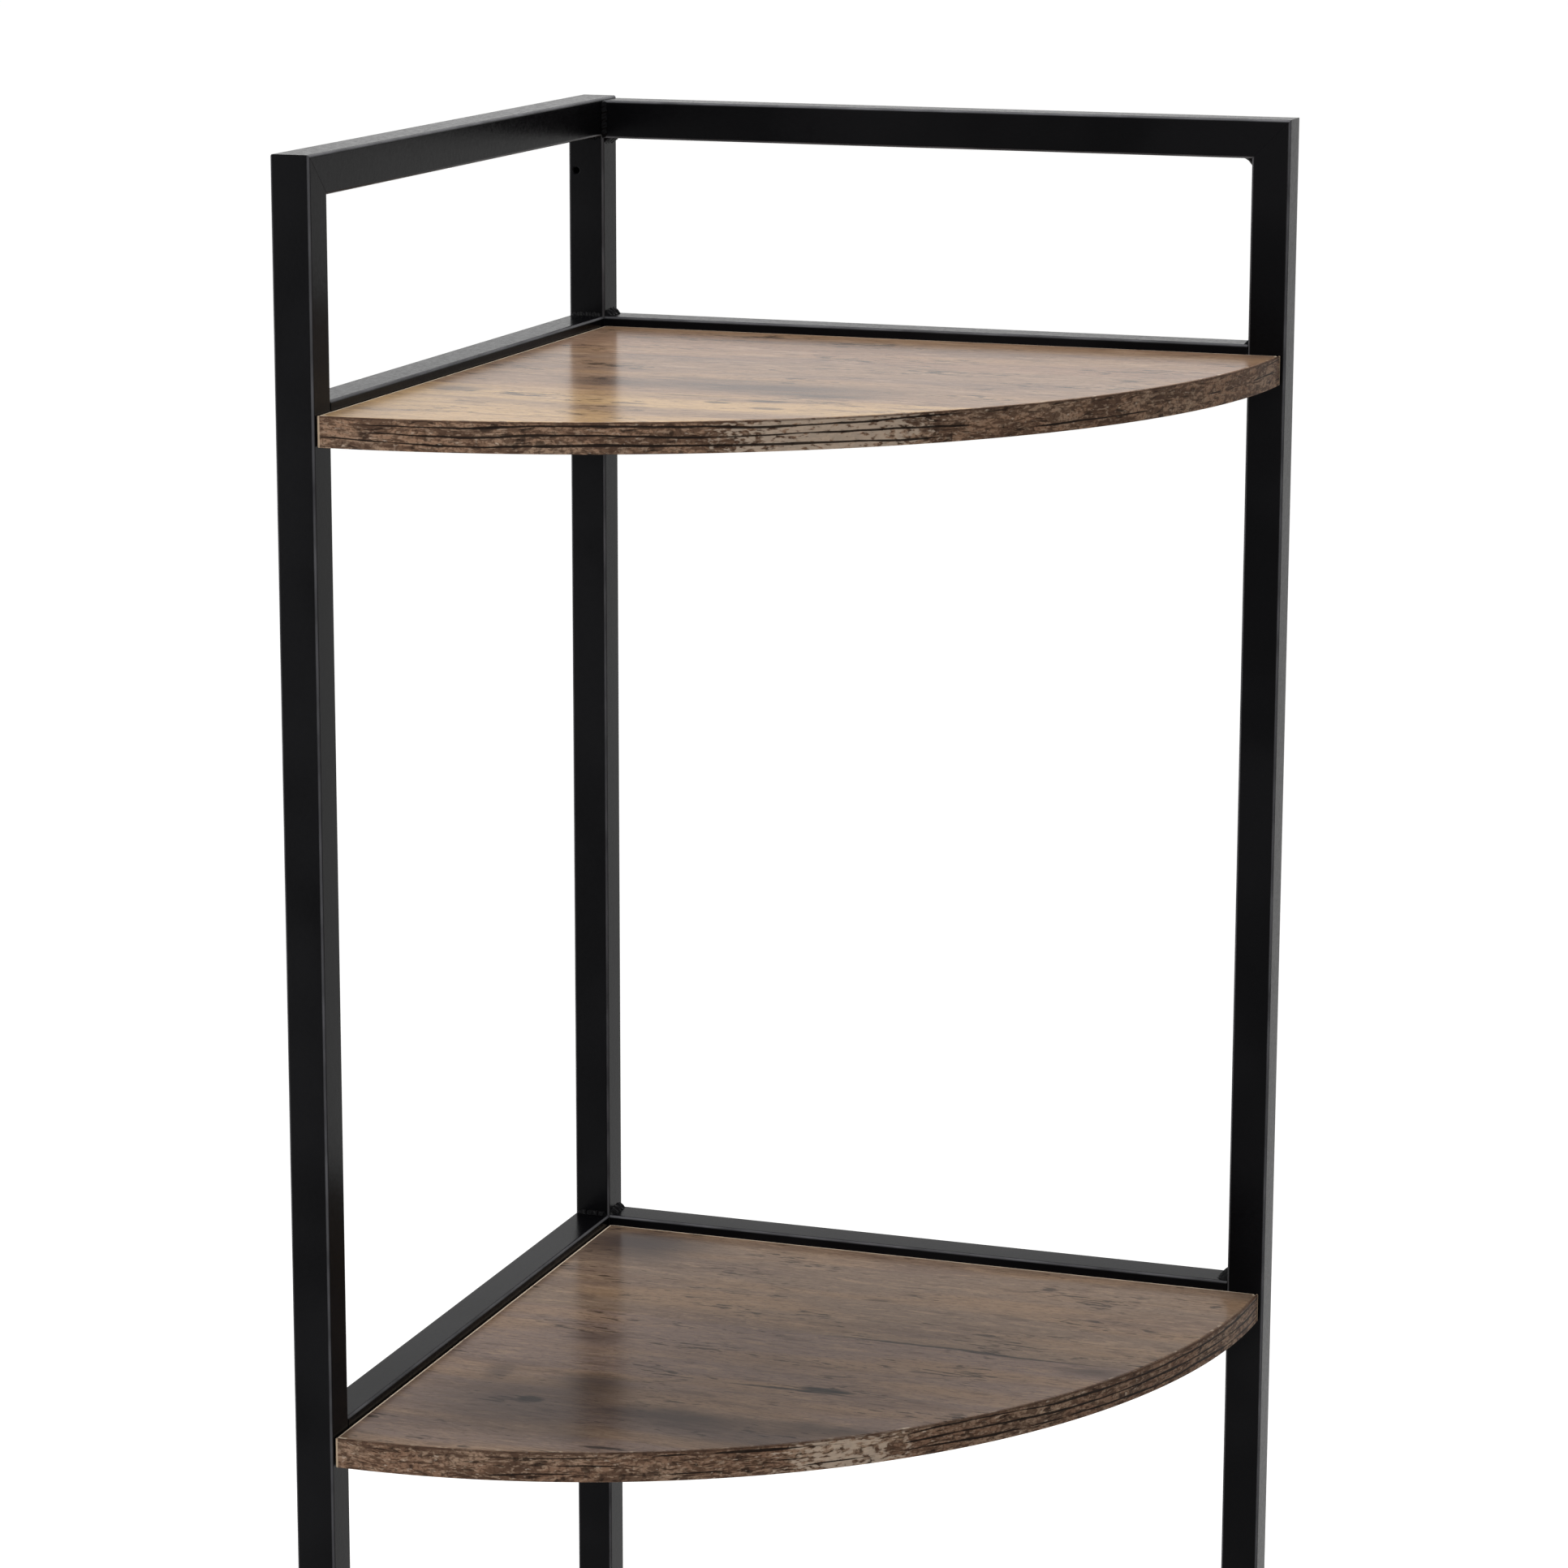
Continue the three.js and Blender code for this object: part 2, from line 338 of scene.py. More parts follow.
def add_node(tree: Tree, kind: str, inputs: dict | None = None, **settings: object) -> Node:
    """Adds a shader node with its settings, values and links.

    Args:
        tree: The node tree.
        kind: The node's type, such as ShaderNodeMix.
        inputs: A value, or the output socket to link, for each input by name or index.
        settings: The node's own options.

    Returns:
        The new node.
    """
    made = tree.nodes.new(kind)
    for name, value in settings.items():
        setattr(made, name, value)
    for name, value in (inputs or {}).items():
        if isinstance(value, Socket):
            tree.links.new(value, made.inputs[name])
        else:
            made.inputs[name].default_value = value
    return made


def emptied(owner: Material | bpy.types.World) -> Tree:
    """Switches on the nodes of a material or world, and takes out those that it comes with.

    Args:
        owner: The material or world.

    Returns:
        Its empty node tree.
    """
    owner.use_nodes = True
    owner.node_tree.nodes.clear()
    return owner.node_tree


def blots(tree: Tree, place: Socket, size: Triple, detail: float, seed: float = 0.0) -> Socket:
    """Soft noise whose blots have a given size along each axis.

    The place is divided by the size along each axis, moved by the seed, and then read by noise of
    scale 1.

    Args:
        tree: The node tree.
        place: The vector that the noise reads, in metres.
        size: The length of a blot along X, Y and Z, in metres.
        detail: How many finer layers are added.
        seed: Where in the noise it starts, so that two layers of one size differ.

    Returns:
        The noise, about 0.5 on average.
    """
    share = tuple(1 / length for length in size)
    moved = {0: place, 1: share, 2: (seed, seed, seed)}
    scaled = add_node(tree, "ShaderNodeVectorMath", moved, operation="MULTIPLY_ADD")
    noise = {"Vector": scaled.outputs[0], "Scale": 1.0, "Detail": detail}
    return add_node(tree, "ShaderNodeTexNoise", noise).outputs[0]


def swayed(tree: Tree, place: Socket, size: Triple, reach: float, axis: Axis) -> Socket:
    """Lets straight grain wander sideways: the place plus soft noise along one axis.

    Args:
        tree: The node tree.
        place: The vector that is moved, in metres.
        size: The length of one bend along X, Y and Z, in metres.
        reach: How far the grain wanders to either side.
        axis: The axis along which it wanders.

    Returns:
        The moved vector.
    """
    bend = {"Value": blots(tree, place, size, 2), "To Min": -reach, "To Max": reach}
    amount = add_node(tree, "ShaderNodeMapRange", bend)
    aside = add_node(tree, "ShaderNodeCombineXYZ", {axis.name: amount.outputs[0]})
    both = {0: place, 1: aside.outputs[0]}
    return add_node(tree, "ShaderNodeVectorMath", both, operation="ADD").outputs[0]


def lay(
    tree: Tree,
    under: Socket | tuple,
    tone: str,
    value: Socket,
    low: float,
    high: float,
    strength: float | Socket,
    rise: str = "SMOOTHSTEP",
) -> Socket:
    """Lays a tone over a colour where a value rises from one level to another.

    Args:
        tree: The node tree.
        under: The colour below, as a socket or a linear colour.
        tone: The tone, as sRGB hex.
        value: What decides where it lies.
        low: The level at which the tone starts.
        high: The level at which it is at its strongest.
        strength: How much of the colour below it covers there.
        rise: How it grows in between, as the Map Range node names it.

    Returns:
        The mixed colour.
    """
    levels = {"Value": value, "From Min": low, "From Max": high, "To Max": strength}
    share = add_node(tree, "ShaderNodeMapRange", levels, interpolation_type=rise)
    mixed = {MIX_FACTOR: share.outputs[0], MIX_FIRST: under, MIX_SECOND: linear(tone)}
    return add_node(tree, "ShaderNodeMix", mixed, data_type="RGBA").outputs[MIX_RESULT]


@dataclass(frozen=True)
class Finish(ABC):
    """A finish of one shader, whose inputs each kind of finish works out for itself."""

    name: str

    @abstractmethod
    def surface(self, tree: Tree) -> dict:
        """Builds the nodes of the finish.

        Args:
            tree: The node tree.

        Returns:
            The shader's inputs by name, as values or sockets.
        """

    def material(self) -> Material:
        """Puts the finish's own nodes, the shader and the output together.

        Returns:
            The material.
        """
        material = bpy.data.materials.new(self.name)
        tree = emptied(material)
        shader = add_node(tree, "ShaderNodeBsdfPrincipled", self.surface(tree))
        add_node(tree, "ShaderNodeOutputMaterial", {"Surface": shader.outputs[0]})
        return material


@dataclass(frozen=True)
class PowderCoat(Finish):
    """Satin black polyester powder coat on steel, sprayed dry and baked.

    To the eye it is a deep, slightly uneven black with the fine orange peel of the melted grains.
    It shines at a flat angle. The melt draws back from the edges of the tubes, where the coat is
    thin; the grey line painted there is that thin coat and a painted highlight along the edges.
    """

    name: str = "satin_black_powder_coat"
    colour: str = "#08080a"
    thin_colour: str = "#111113"
    edge_colour: str = "#76767a"
    ior: float = 1.12
    smooth_roughness: float = 0.18
    grainy_roughness: float = 0.27
    peel_size: float = 1.6 * MM  # real peel is about 0.7 mm across, drawn coarser so that it shows
    peel_depth: float = 0.025 * MM
    peel_range: tuple[float, float] = (0.3, 0.7)  # the noise levels that the roughness follows
    cloud_size: float = 60 * MM
    edge_cloud: float = 20 * MM

    def surface(self, tree: Tree) -> dict:
        """Clouds, and thin edges with a painted highlight, in the colour, and peel in the roughness and
        bump.

        Args:
            tree: The node tree.

        Returns:
            The shader's inputs.
        """
        place = add_node(tree, "ShaderNodeTexCoord").outputs["Object"]
        clouds = blots(tree, place, (self.cloud_size,) * 3, 2)
        colour = linear(self.colour)
        colour = lay(tree, colour, self.thin_colour, clouds, low=0.35, high=0.65, strength=1.0)
        # The grey line along the rounded edges is thin coat and a painted highlight.
        edge = add_node(tree, "ShaderNodeAttribute", attribute_name="tube_edge").outputs["Fac"]
        bare = blots(tree, place, (self.edge_cloud,) * 3, 2)
        colour = lay(tree, colour, self.edge_colour, edge, low=0.35, high=1.0, strength=bare)
        peel = blots(tree, place, (self.peel_size,) * 3, 2)
        low, high = self.peel_range
        spread = {"Value": peel, "From Min": low, "From Max": high}
        spread |= {"To Min": self.smooth_roughness, "To Max": self.grainy_roughness}
        roughness = add_node(tree, "ShaderNodeMapRange", spread)
        bump = add_node(tree, "ShaderNodeBump", {"Height": peel, "Distance": self.peel_depth})
        return {
            "Base Color": colour,
            "Roughness": roughness.outputs[0],
            "IOR": self.ior,
            "Normal": bump.outputs[0],
        }


@dataclass(frozen=True)
class Mark:
    """A soft oval mark of the print; on board 2 some of them are painted shade. Lengths are in millimetres
    from the wings' inner corner.
    """

    right: float  # its middle, along the right wing
    out: float  # its middle, along the left wing
    half_length: float  # along the grain
    half_width: float
    strength: float


@dataclass(frozen=True)
class Plank:
    """A lengthwise zone of another tone, as if from another plank. Lengths are in millimetres."""

    start: float  # along the left wing, from the inner corner
    end: float
    blur: float
    tone: str
    strength: float


@dataclass(frozen=True)
class Layer:
    """A layer of a printed grain: a tone that lies where noise stretched along it is high."""

    tone: str
    length: float  # of a blot along the grain, in millimetres
    width: float  # of a blot across the grain, in millimetres
    detail: float
    low: float  # the level of the noise at which the tone starts
    high: float  # the level at which it is at its strongest
    strength: float


@dataclass(frozen=True)
class OakPrint(Finish):
    """Melamine-faced board with a printed, weathered oak grain and a satin press finish.

    To the eye it is soft zones of tan, greige and violet brown along X, roughened by short thin
    strokes and pores, with smoky knots. The smooth skin mirrors what stands on it at a flat
    angle. Along the edges a pale line is painted: on the sawn straight edges it is broken print
    showing the core and a painted highlight, and on the curve a painted highlight only.
    Strokes, pores and pressed grooves finer than a millimetre are drawn coarser so that they show.
    """

    corner: tuple[float, float]
    seed: float  # where on the printed sheet this board was cut, in blots
    plank_tones_and_shade: tuple[Plank, ...] = ()
    smoke_and_shade_marks: tuple[Mark, ...] = ()
    cracks: tuple[Mark, ...] = ()
    greige: str = "#886f5b"
    tan: str = "#997c60"
    violet: str = "#6b5951"
    streak: str = "#6a5545"
    pale: str = "#a98f77"
    stroke: str = "#54433a"
    pore: str = "#2e2520"
    smoke_and_shade: str = "#463c39"
    crack: str = "#2b2726"
    # Pale core, which also carries a painted highlight along the edges
    core: str = "#f2dfc6"
    ior: float = 1.1
    roughness: float = 0.2
    seed_step: float = 3.7  # from one layer to the next
    press_size: Triple = (15 * MM, 1.6 * MM, 1.6 * MM)  # real grooves are about 0.4 mm wide
    press_depth: float = 0.025 * MM

    def surface(self, tree: Tree) -> dict:
        """Zones first, then streaks, strokes, pores, placed marks (some of them painted shade), and the pale
        edge line, which is broken print and a painted highlight.

        Args:
            tree: The node tree.

        Returns:
            The shader's inputs.
        """
        place = add_node(tree, "ShaderNodeTexCoord").outputs["Object"]
        grain = swayed(tree, place, size=(70 * MM, 30 * MM, 30 * MM), reach=5 * MM, axis=Axis.Y)
        colour = linear(self.greige)
        out = add_node(tree, "ShaderNodeSeparateXYZ", {0: grain}).outputs["Y"]
        for plank in self.plank_tones_and_shade:
            zone = self.inside(tree, out, plank)
            colour = lay(tree, colour, plank.tone, zone, low=0.0, high=1.0, strength=plank.strength)
        layers = (
            Layer(self.tan, 200, 30, 2, 0.45, 0.62, 0.6),
            Layer(self.violet, 110, 26, 3, 0.5, 0.68, 0.55),
            Layer(self.streak, 40, 3.5, 3, 0.5, 0.74, 0.35),
            Layer(self.pale, 30, 3, 3, 0.54, 0.76, 0.3),
            Layer(self.stroke, 22, 5, 4, 0.58, 0.7, 0.45),
            Layer(self.pale, 26, 6, 4, 0.56, 0.7, 0.45),
            Layer(self.stroke, 8, 1.2, 2, 0.5, 0.7, 0.4),
            Layer(self.pale, 6, 1.1, 2, 0.54, 0.7, 0.35),
            Layer(self.stroke, 2.5, 1, 2, 0.54, 0.68, 0.35),
        )
        for number, layer in enumerate(layers):
            size = (layer.length * MM, layer.width * MM, layer.width * MM)
            noise = blots(tree, grain, size, layer.detail, self.seed + self.seed_step * number)
            colour = lay(tree, colour, layer.tone, noise, layer.low, layer.high, layer.strength)
        pores = blots(tree, grain, size=(9 * MM, 1.8 * MM, 1.8 * MM), detail=2, seed=self.seed)
        clusters = blots(tree, grain, size=(40 * MM, 16 * MM, 16 * MM), detail=2, seed=self.seed + 9)
        both = add_node(tree, "ShaderNodeMath", {0: pores, 1: clusters}, operation="MULTIPLY").outputs[0]
        colour = lay(tree, colour, self.pore, both, low=0.345, high=0.39, strength=0.75)
        # Smoke marks of the print; on board 2 some of them are painted shade.
        smoky = swayed(tree, grain, size=(16 * MM, 9 * MM, 9 * MM), reach=7 * MM, axis=Axis.Y)
        for mark in self.smoke_and_shade_marks:
            near = self.nearness(tree, smoky, mark)
            colour = lay(tree, colour, self.smoke_and_shade, near, low=0.0, high=0.9, strength=mark.strength)
        ragged = swayed(tree, grain, size=(6 * MM, 2 * MM, 2 * MM), reach=1.2 * MM, axis=Axis.Y)
        for mark in self.cracks:
            near = self.nearness(tree, ragged, mark)
            colour = lay(tree, colour, self.crack, near, low=0.0, high=0.5, strength=mark.strength)
        # The pale line along the edges: broken print showing the core, and a painted highlight; on the curve
        # only a painted highlight.
        bare = add_node(tree, "ShaderNodeAttribute", attribute_name="bare_edge").outputs["Fac"]
        line_breaks = blots(tree, place, size=(5 * MM, 5 * MM, 5 * MM), detail=2, seed=self.seed)
        broken = {0: line_breaks, 1: bare, 2: bare}
        broken = add_node(tree, "ShaderNodeMath", broken, operation="MULTIPLY_ADD").outputs[0]
        colour = lay(tree, colour, self.core, broken, low=1.1, high=1.4, strength=0.95)
        press = blots(tree, grain, self.press_size, 2)
        bump = add_node(tree, "ShaderNodeBump", {"Height": press, "Distance": self.press_depth})
        return {
            "Base Color": colour,
            "Roughness": self.roughness,
            "IOR": self.ior,
            "Normal": bump.outputs[0],
        }

    def inside(self, tree: Tree, across: Socket, plank: Plank) -> Socket:
        """1 within a plank and 0 outside it, with blurred edges.

        It is the smaller of two ramps, which rise over the blur on either side of each edge.

        Args:
            tree: The node tree.
            across: The place across the grain.
            plank: The plank.

        Returns:
            How far the point is inside.
        """
        ramps = []
        for edge, turn in ((plank.start, -1), (plank.end, 1)):
            limit = self.corner[1] - edge * MM
            ramp = {"Value": across, "From Min": limit - turn * plank.blur * MM}
            ramp["From Max"] = limit + turn * plank.blur * MM
            ramps.append(add_node(tree, "ShaderNodeMapRange", ramp).outputs[0])
        return add_node(tree, "ShaderNodeMath", dict(enumerate(ramps)), operation="MINIMUM").outputs[0]

    def nearness(self, tree: Tree, place: Socket, mark: Mark) -> Socket:
        """How near a point is to the middle of an oval mark.

        It is 1 less the length of the vector from the middle, measured in the mark's own half
        length and half width, so it is 1 in the middle and 0 on the oval.

        Args:
            tree: The node tree.
            place: The point.
            mark: The mark.

        Returns:
            The nearness.
        """
        middle = (self.corner[0] + mark.right * MM, self.corner[1] - mark.out * MM, 0.0)
        away = add_node(tree, "ShaderNodeVectorMath", {0: place, 1: middle}, operation="SUBTRACT")
        share = (1 / (mark.half_length * MM), 1 / (mark.half_width * MM), 0.0)
        scaled = {0: away.outputs[0], 1: share}
        oval = add_node(tree, "ShaderNodeVectorMath", scaled, operation="MULTIPLY")
        far = add_node(tree, "ShaderNodeVectorMath", {0: oval.outputs[0]}, operation="LENGTH")
        left = {0: 1.0, 1: far.outputs["Value"]}
        return add_node(tree, "ShaderNodeMath", left, operation="SUBTRACT").outputs[0]


# The print of each board. The photograph shows that of the two highest.
PLANK_TONES_AND_SHADE = {
    1: (Plank(193, 300, 3, "#bf9f74", 0.8), Plank(-10, 88, 2, "#8b6c58", 0.5)),
    # Board 2's zones are darker than board 1's, as painted shade under the shelf above.
    2: (Plank(114, 300, 1, "#84726a", 0.75), Plank(-10, 114, 1, "#7f6e60", 0.65)),
    3: (Plank(160, 300, 2, "#6f5d54", 0.45),),
    4: (Plank(-10, 92, 2, "#9c8265", 0.5),),
}
SMOKE_AND_SHADE_MARKS = {
    1: (
        Mark(130, 166, 90, 22, 0.65),
        Mark(105, 148, 40, 8, 0.5),
        Mark(158, 182, 40, 10, 0.8),
        Mark(68, 168, 30, 18, 0.6),
        Mark(30, 33, 14, 6, 0.5),
        Mark(20, 208, 18, 12, 0.65),
    ),
    2: (
        Mark(72, 205, 24, 22, 0.65),
        Mark(118, 230, 40, 13, 0.8),
        Mark(180, 224, 36, 12, 0.75),
        Mark(30, 200, 9, 16, 0.5),
        Mark(52, 150, 18, 13, 0.45),
        Mark(258, 124, 20, 11, 0.65),
        Mark(85, 262, 20, 12, 0.35),
        # Painted shade: board 2 darker by the inner corner and along the front, under the shelf above.
        Mark(22, 24, 50, 38, 0.95),
        Mark(60, 236, 90, 52, 0.6),
        Mark(150, 240, 70, 32, 0.6),
    ),
    3: (Mark(90, 60, 30, 12, 0.5), Mark(180, 190, 40, 12, 0.5)),
    4: (Mark(60, 210, 26, 14, 0.5), Mark(200, 120, 34, 10, 0.5)),
}
CRACKS = {
    1: (
        Mark(145, 203, 10, 3.5, 0.7),
        Mark(128, 212, 7, 3.5, 0.7),
        Mark(152, 222, 9, 4, 0.6),
        Mark(98, 224, 8, 3, 0.5),
        Mark(60, 88, 50, 1.2, 0.4),
        Mark(110, 196, 16, 2, 0.5),
    ),
    2: (
        Mark(163, 180, 15, 4, 0.9),
        Mark(150, 184, 34, 1.6, 0.8),
        Mark(55, 230, 7, 4, 0.8),
        Mark(103, 273, 12, 2, 0.8),
        Mark(205, 114.5, 80, 1.6, 0.8),
        Mark(147, 63, 9, 1.6, 0.5),
    ),
    3: (Mark(120, 120, 30, 2, 0.7),),
    4: (Mark(70, 60, 26, 2, 0.7),),
}

# What sets each edge strip apart, by the names of GrainBand's fields
# The first strip's ground is lighter than the lower strips' grounds, in part as painted light, for the top
# shelf is lit more.
STRIPS = {
    1: {"rubbed_and_sheen": 272, "sheen_reach": 52, "sheen_share": 0.29, "lined": 330, "ground": "#947660"},
    2: {"rubbed_and_sheen": 264, "sheen_reach": 32, "sheen_share": 0.22, "lined": 110, "ground": "#846855"},
    3: {"rubbed_and_sheen": 150, "sheen_reach": 40, "sheen_share": 0.22, "lined": 300, "ground": "#836753"},
    4: {"rubbed_and_sheen": 330, "sheen_reach": 36, "sheen_share": 0.25, "lined": 190, "ground": "#866a55"},
}


@dataclass(frozen=True)
class GrainBand(Finish):
    """Edge strip of resin-soaked paper with a dark printed grain, glued round the curve.

    To the eye it is darker than the board, with wandering black-brown lines along the edge and pale
    flecks. Where the light catches it, a painted highlight makes the flecks grow and run together. The
    finest lines of such a print, about 0.3 mm, are drawn coarser so that they show.
    """

    seed: float  # where on the printed roll this strip was cut, in blots
    rubbed_and_sheen: float  # the middle of a stretch of painted highlight, in millimetres from the right tip
    sheen_reach: float  # how far it goes to either side
    sheen_share: float  # how much the painted highlight adds to the flecks
    lined: float  # the middle of the stretch where the dark lines run on
    ground: str
    lined_reach: float = 130.0
    pale: str = "#a58d78"
    dusk: str = "#4b382d"
    line: str = "#150e0a"
    # Flecks of the print, and the tone of the painted highlight
    fleck_and_sheen_tone: str = "#c9b6a3"
    # Pale core, which also carries a painted highlight at the strip's ends
    core: str = "#d6bfa4"
    ior: float = 1.14
    roughness: float = 0.55
    line_pitch: float = 3.6 * MM
    line_turns: float = 2.2  # how many pitches the lines wander up and down
    line_depth: float = 0.08 * MM
    hold: float = 0.24  # how much the lined stretch adds against the breaks in the lines
    rim: float = 5.2 * MM  # above this height over its middle, the strip's edge is dark
    rim_blur: float = 0.3 * MM
    seed_step: float = 2.3  # from one layer to the next

    def surface(self, tree: Tree) -> dict:
        """The print, laid out on the strip's own places: along the arc, through it, and up.

        The dark lines lie where the sine of the height, measured in line pitches and moved up and
        down by soft noise, is near 1. They run on in the lined stretch and break up elsewhere. In
        the stretch of painted highlight pale flecks grow and run together.

        Args:
            tree: The node tree.

        Returns:
            The shader's inputs.
        """
        place = add_node(tree, "ShaderNodeAttribute", attribute_name="strip_place").outputs["Vector"]
        parts = add_node(tree, "ShaderNodeSeparateXYZ", {0: place}).outputs
        grain = swayed(tree, place, size=(24 * MM, 1.0, 9 * MM), reach=2.5 * MM, axis=Axis.Z)
        rubbed_and_sheen = self.stretch(tree, parts["X"], self.rubbed_and_sheen, self.sheen_reach)
        lined = self.stretch(tree, parts["X"], self.lined, self.lined_reach)
        colour = linear(self.ground)
        layers = (
            Layer(self.pale, 45, 14, 2, 0.46, 0.64, 0.6),
            Layer(self.dusk, 20, 6, 3, 0.5, 0.6, 0.7),
            Layer(self.dusk, 5, 1.3, 3, 0.48, 0.56, 0.75),
            Layer(self.pale, 4, 1.2, 3, 0.53, 0.61, 0.6),
            Layer(self.line, 8, 0.9, 3, 0.59, 0.67, 0.8),
            Layer(self.line, 5, 4, 4, 0.6, 0.68, 0.7),
            Layer(self.dusk, 1.4, 1.1, 2, 0.5, 0.62, 0.6),
        )
        for number, layer in enumerate(layers):
            size = (layer.length * MM, 1.0, layer.width * MM)
            noise = blots(tree, grain, size, layer.detail, self.seed + self.seed_step * number)
            colour = lay(tree, colour, layer.tone, noise, layer.low, layer.high, layer.strength)
        level = {0: parts["Z"], 1: 2 * math.pi / self.line_pitch}
        level = add_node(tree, "ShaderNodeMath", level, operation="MULTIPLY").outputs[0]
        roam = blots(tree, place, size=(110 * MM, 1.0, 20 * MM), detail=4, seed=self.seed)
        phase = {0: roam, 1: 2 * math.pi * self.line_turns, 2: level}
        phase = add_node(tree, "ShaderNodeMath", phase, operation="MULTIPLY_ADD").outputs[0]
        wave = add_node(tree, "ShaderNodeMath", {0: phase}, operation="SINE").outputs[0]
        breaks = blots(tree, grain, size=(30 * MM, 1.0, 4 * MM), detail=4, seed=self.seed + 8)
        breaks = {0: lined, 1: self.hold, 2: breaks}
        breaks = add_node(tree, "ShaderNodeMath", breaks, operation="MULTIPLY_ADD").outputs[0]
        lines = add_node(tree, "ShaderNodeMath", {0: wave, 1: breaks}, operation="MULTIPLY").outputs[0]
        flecks = blots(tree, grain, size=(3.5 * MM, 1.0, 1.3 * MM), detail=3, seed=self.seed + 5)
        # Painted highlight: in one stretch of each strip the pale flecks grow and run together.
        flecks_and_sheen = {0: rubbed_and_sheen, 1: self.sheen_share, 2: flecks}
        flecks_and_sheen = add_node(tree, "ShaderNodeMath", flecks_and_sheen, operation="MULTIPLY_ADD").outputs[0]
        colour = lay(tree, colour, self.fleck_and_sheen_tone, flecks_and_sheen, low=0.62, high=0.74, strength=0.7)
        colour = lay(tree, colour, self.line, lines, low=0.47, high=0.56, strength=0.95)
        over = self.rim + self.rim_blur
        colour = lay(tree, colour, self.dusk, parts["Z"], low=self.rim, high=over, strength=0.7)
        # At the strip's ends the pale line is worn-off print and a painted highlight.
        bare = add_node(tree, "ShaderNodeAttribute", attribute_name="bare_edge").outputs["Fac"]
        colour = lay(tree, colour, self.core, bare, low=0.0, high=1.0, strength=0.9)
        bump = add_node(tree, "ShaderNodeBump", {"Height": lines, "Distance": -self.line_depth})
        return {
            "Base Color": colour,
            "Roughness": self.roughness,
            "IOR": self.ior,
            "Normal": bump.outputs[0],
        }

    def stretch(self, tree: Tree, along: Socket, middle: float, reach: float) -> Socket:
        """A stretch of the strip: 1 in its middle, fading to 0 with the square of the distance.

        Args:
            tree: The node tree.
            along: The place along the strip, in metres.
            middle: The middle of the stretch, in millimetres.
            reach: How far it goes to either side, in millimetres.

        Returns:
            The share.
        """
        far = {0: along, 1: middle * MM}
        far = add_node(tree, "ShaderNodeMath", far, operation="SUBTRACT").outputs[0]
        square = add_node(tree, "ShaderNodeMath", {0: far, 1: far}, operation="MULTIPLY").outputs[0]
        fade = {"Value": square, "From Min": (reach * MM) ** 2, "From Max": 0.0}
        return add_node(tree, "ShaderNodeMapRange", fade).outputs[0]


@dataclass(frozen=True)
class BlackZinc(Finish):
    """Steel screws, zinc plated and passivated black in a barrel.

    To the eye they are a dark grey metal with a soft, slightly cloudy shine.
    """

    name: str = "black_zinc_plated_steel"
    colour: str = "#3b3b3f"
    rubbed_and_sheen: str = "#66666a"
    cloud_size: float = 1.5 * MM
    grit_size: float = 0.2 * MM  # real grit is below 0.05 mm, drawn coarser so that it shows
    smooth_roughness: float = 0.28
    gritty_roughness: float = 0.42

    def surface(self, tree: Tree) -> dict:
        """Metal with clouds in its colour and grit in its roughness.

        Args:
            tree: The node tree.

        Returns:
            The shader's inputs.
        """
        place = add_node(tree, "ShaderNodeTexCoord").outputs["Object"]
        clouds = blots(tree, place, (self.cloud_size,) * 3, 2)
        grit = blots(tree, place, (self.grit_size,) * 3, 1)
        colour = lay(tree, linear(self.colour), self.rubbed_and_sheen, clouds, 0.45, 0.8, 1.0, "LINEAR")
        spread = {"Value": grit, "From Min": 0.3, "From Max": 0.7}
        spread |= {"To Min": self.smooth_roughness, "To Max": self.gritty_roughness}
        roughness = add_node(tree, "ShaderNodeMapRange", spread)
        return {"Base Color": colour, "Metallic": 1.0, "Roughness": roughness.outputs[0]}


@dataclass(frozen=True)
class MouldedPlastic(Finish):
    """Black polyethylene, injection moulded in a spark-eroded tool.

    To the eye it is a dull black with a fine, even grain.
    """

    name: str = "moulded_black_polyethylene"
    colour: str = "#161617"
    worn: str = "#232324"
    grain_size: float = 0.5 * MM  # a real tool's grain is about 0.15 mm, drawn coarser to show
    grain_depth: float = 0.03 * MM
    scuff_size: Triple = (6 * MM, 6 * MM, 1 * MM)
    ior: float = 1.5
    roughness: float = 0.58

    def surface(self, tree: Tree) -> dict:
        """A moulded grain in the bump, and a little scuffing in the colour.

        Args:
            tree: The node tree.

        Returns:
            The shader's inputs.
        """
        place = add_node(tree, "ShaderNodeTexCoord").outputs["Object"]
        grain = blots(tree, place, (self.grain_size,) * 3, 2)
        scuffs = blots(tree, place, self.scuff_size, 3)
        colour = lay(tree, linear(self.colour), self.worn, scuffs, 0.5, 0.75, 1.0, "LINEAR")
        bump = add_node(tree, "ShaderNodeBump", {"Height": grain, "Distance": self.grain_depth})
        return {
            "Base Color": colour,
            "Roughness": self.roughness,
            "IOR": self.ior,
            "Normal": bump.outputs[0],
        }


# The steel frame


@dataclass(frozen=True)
class Mitre:
    """A cut at 45 degrees. The tube stays longest on one side of one axis."""

    axis: Axis
    side: int


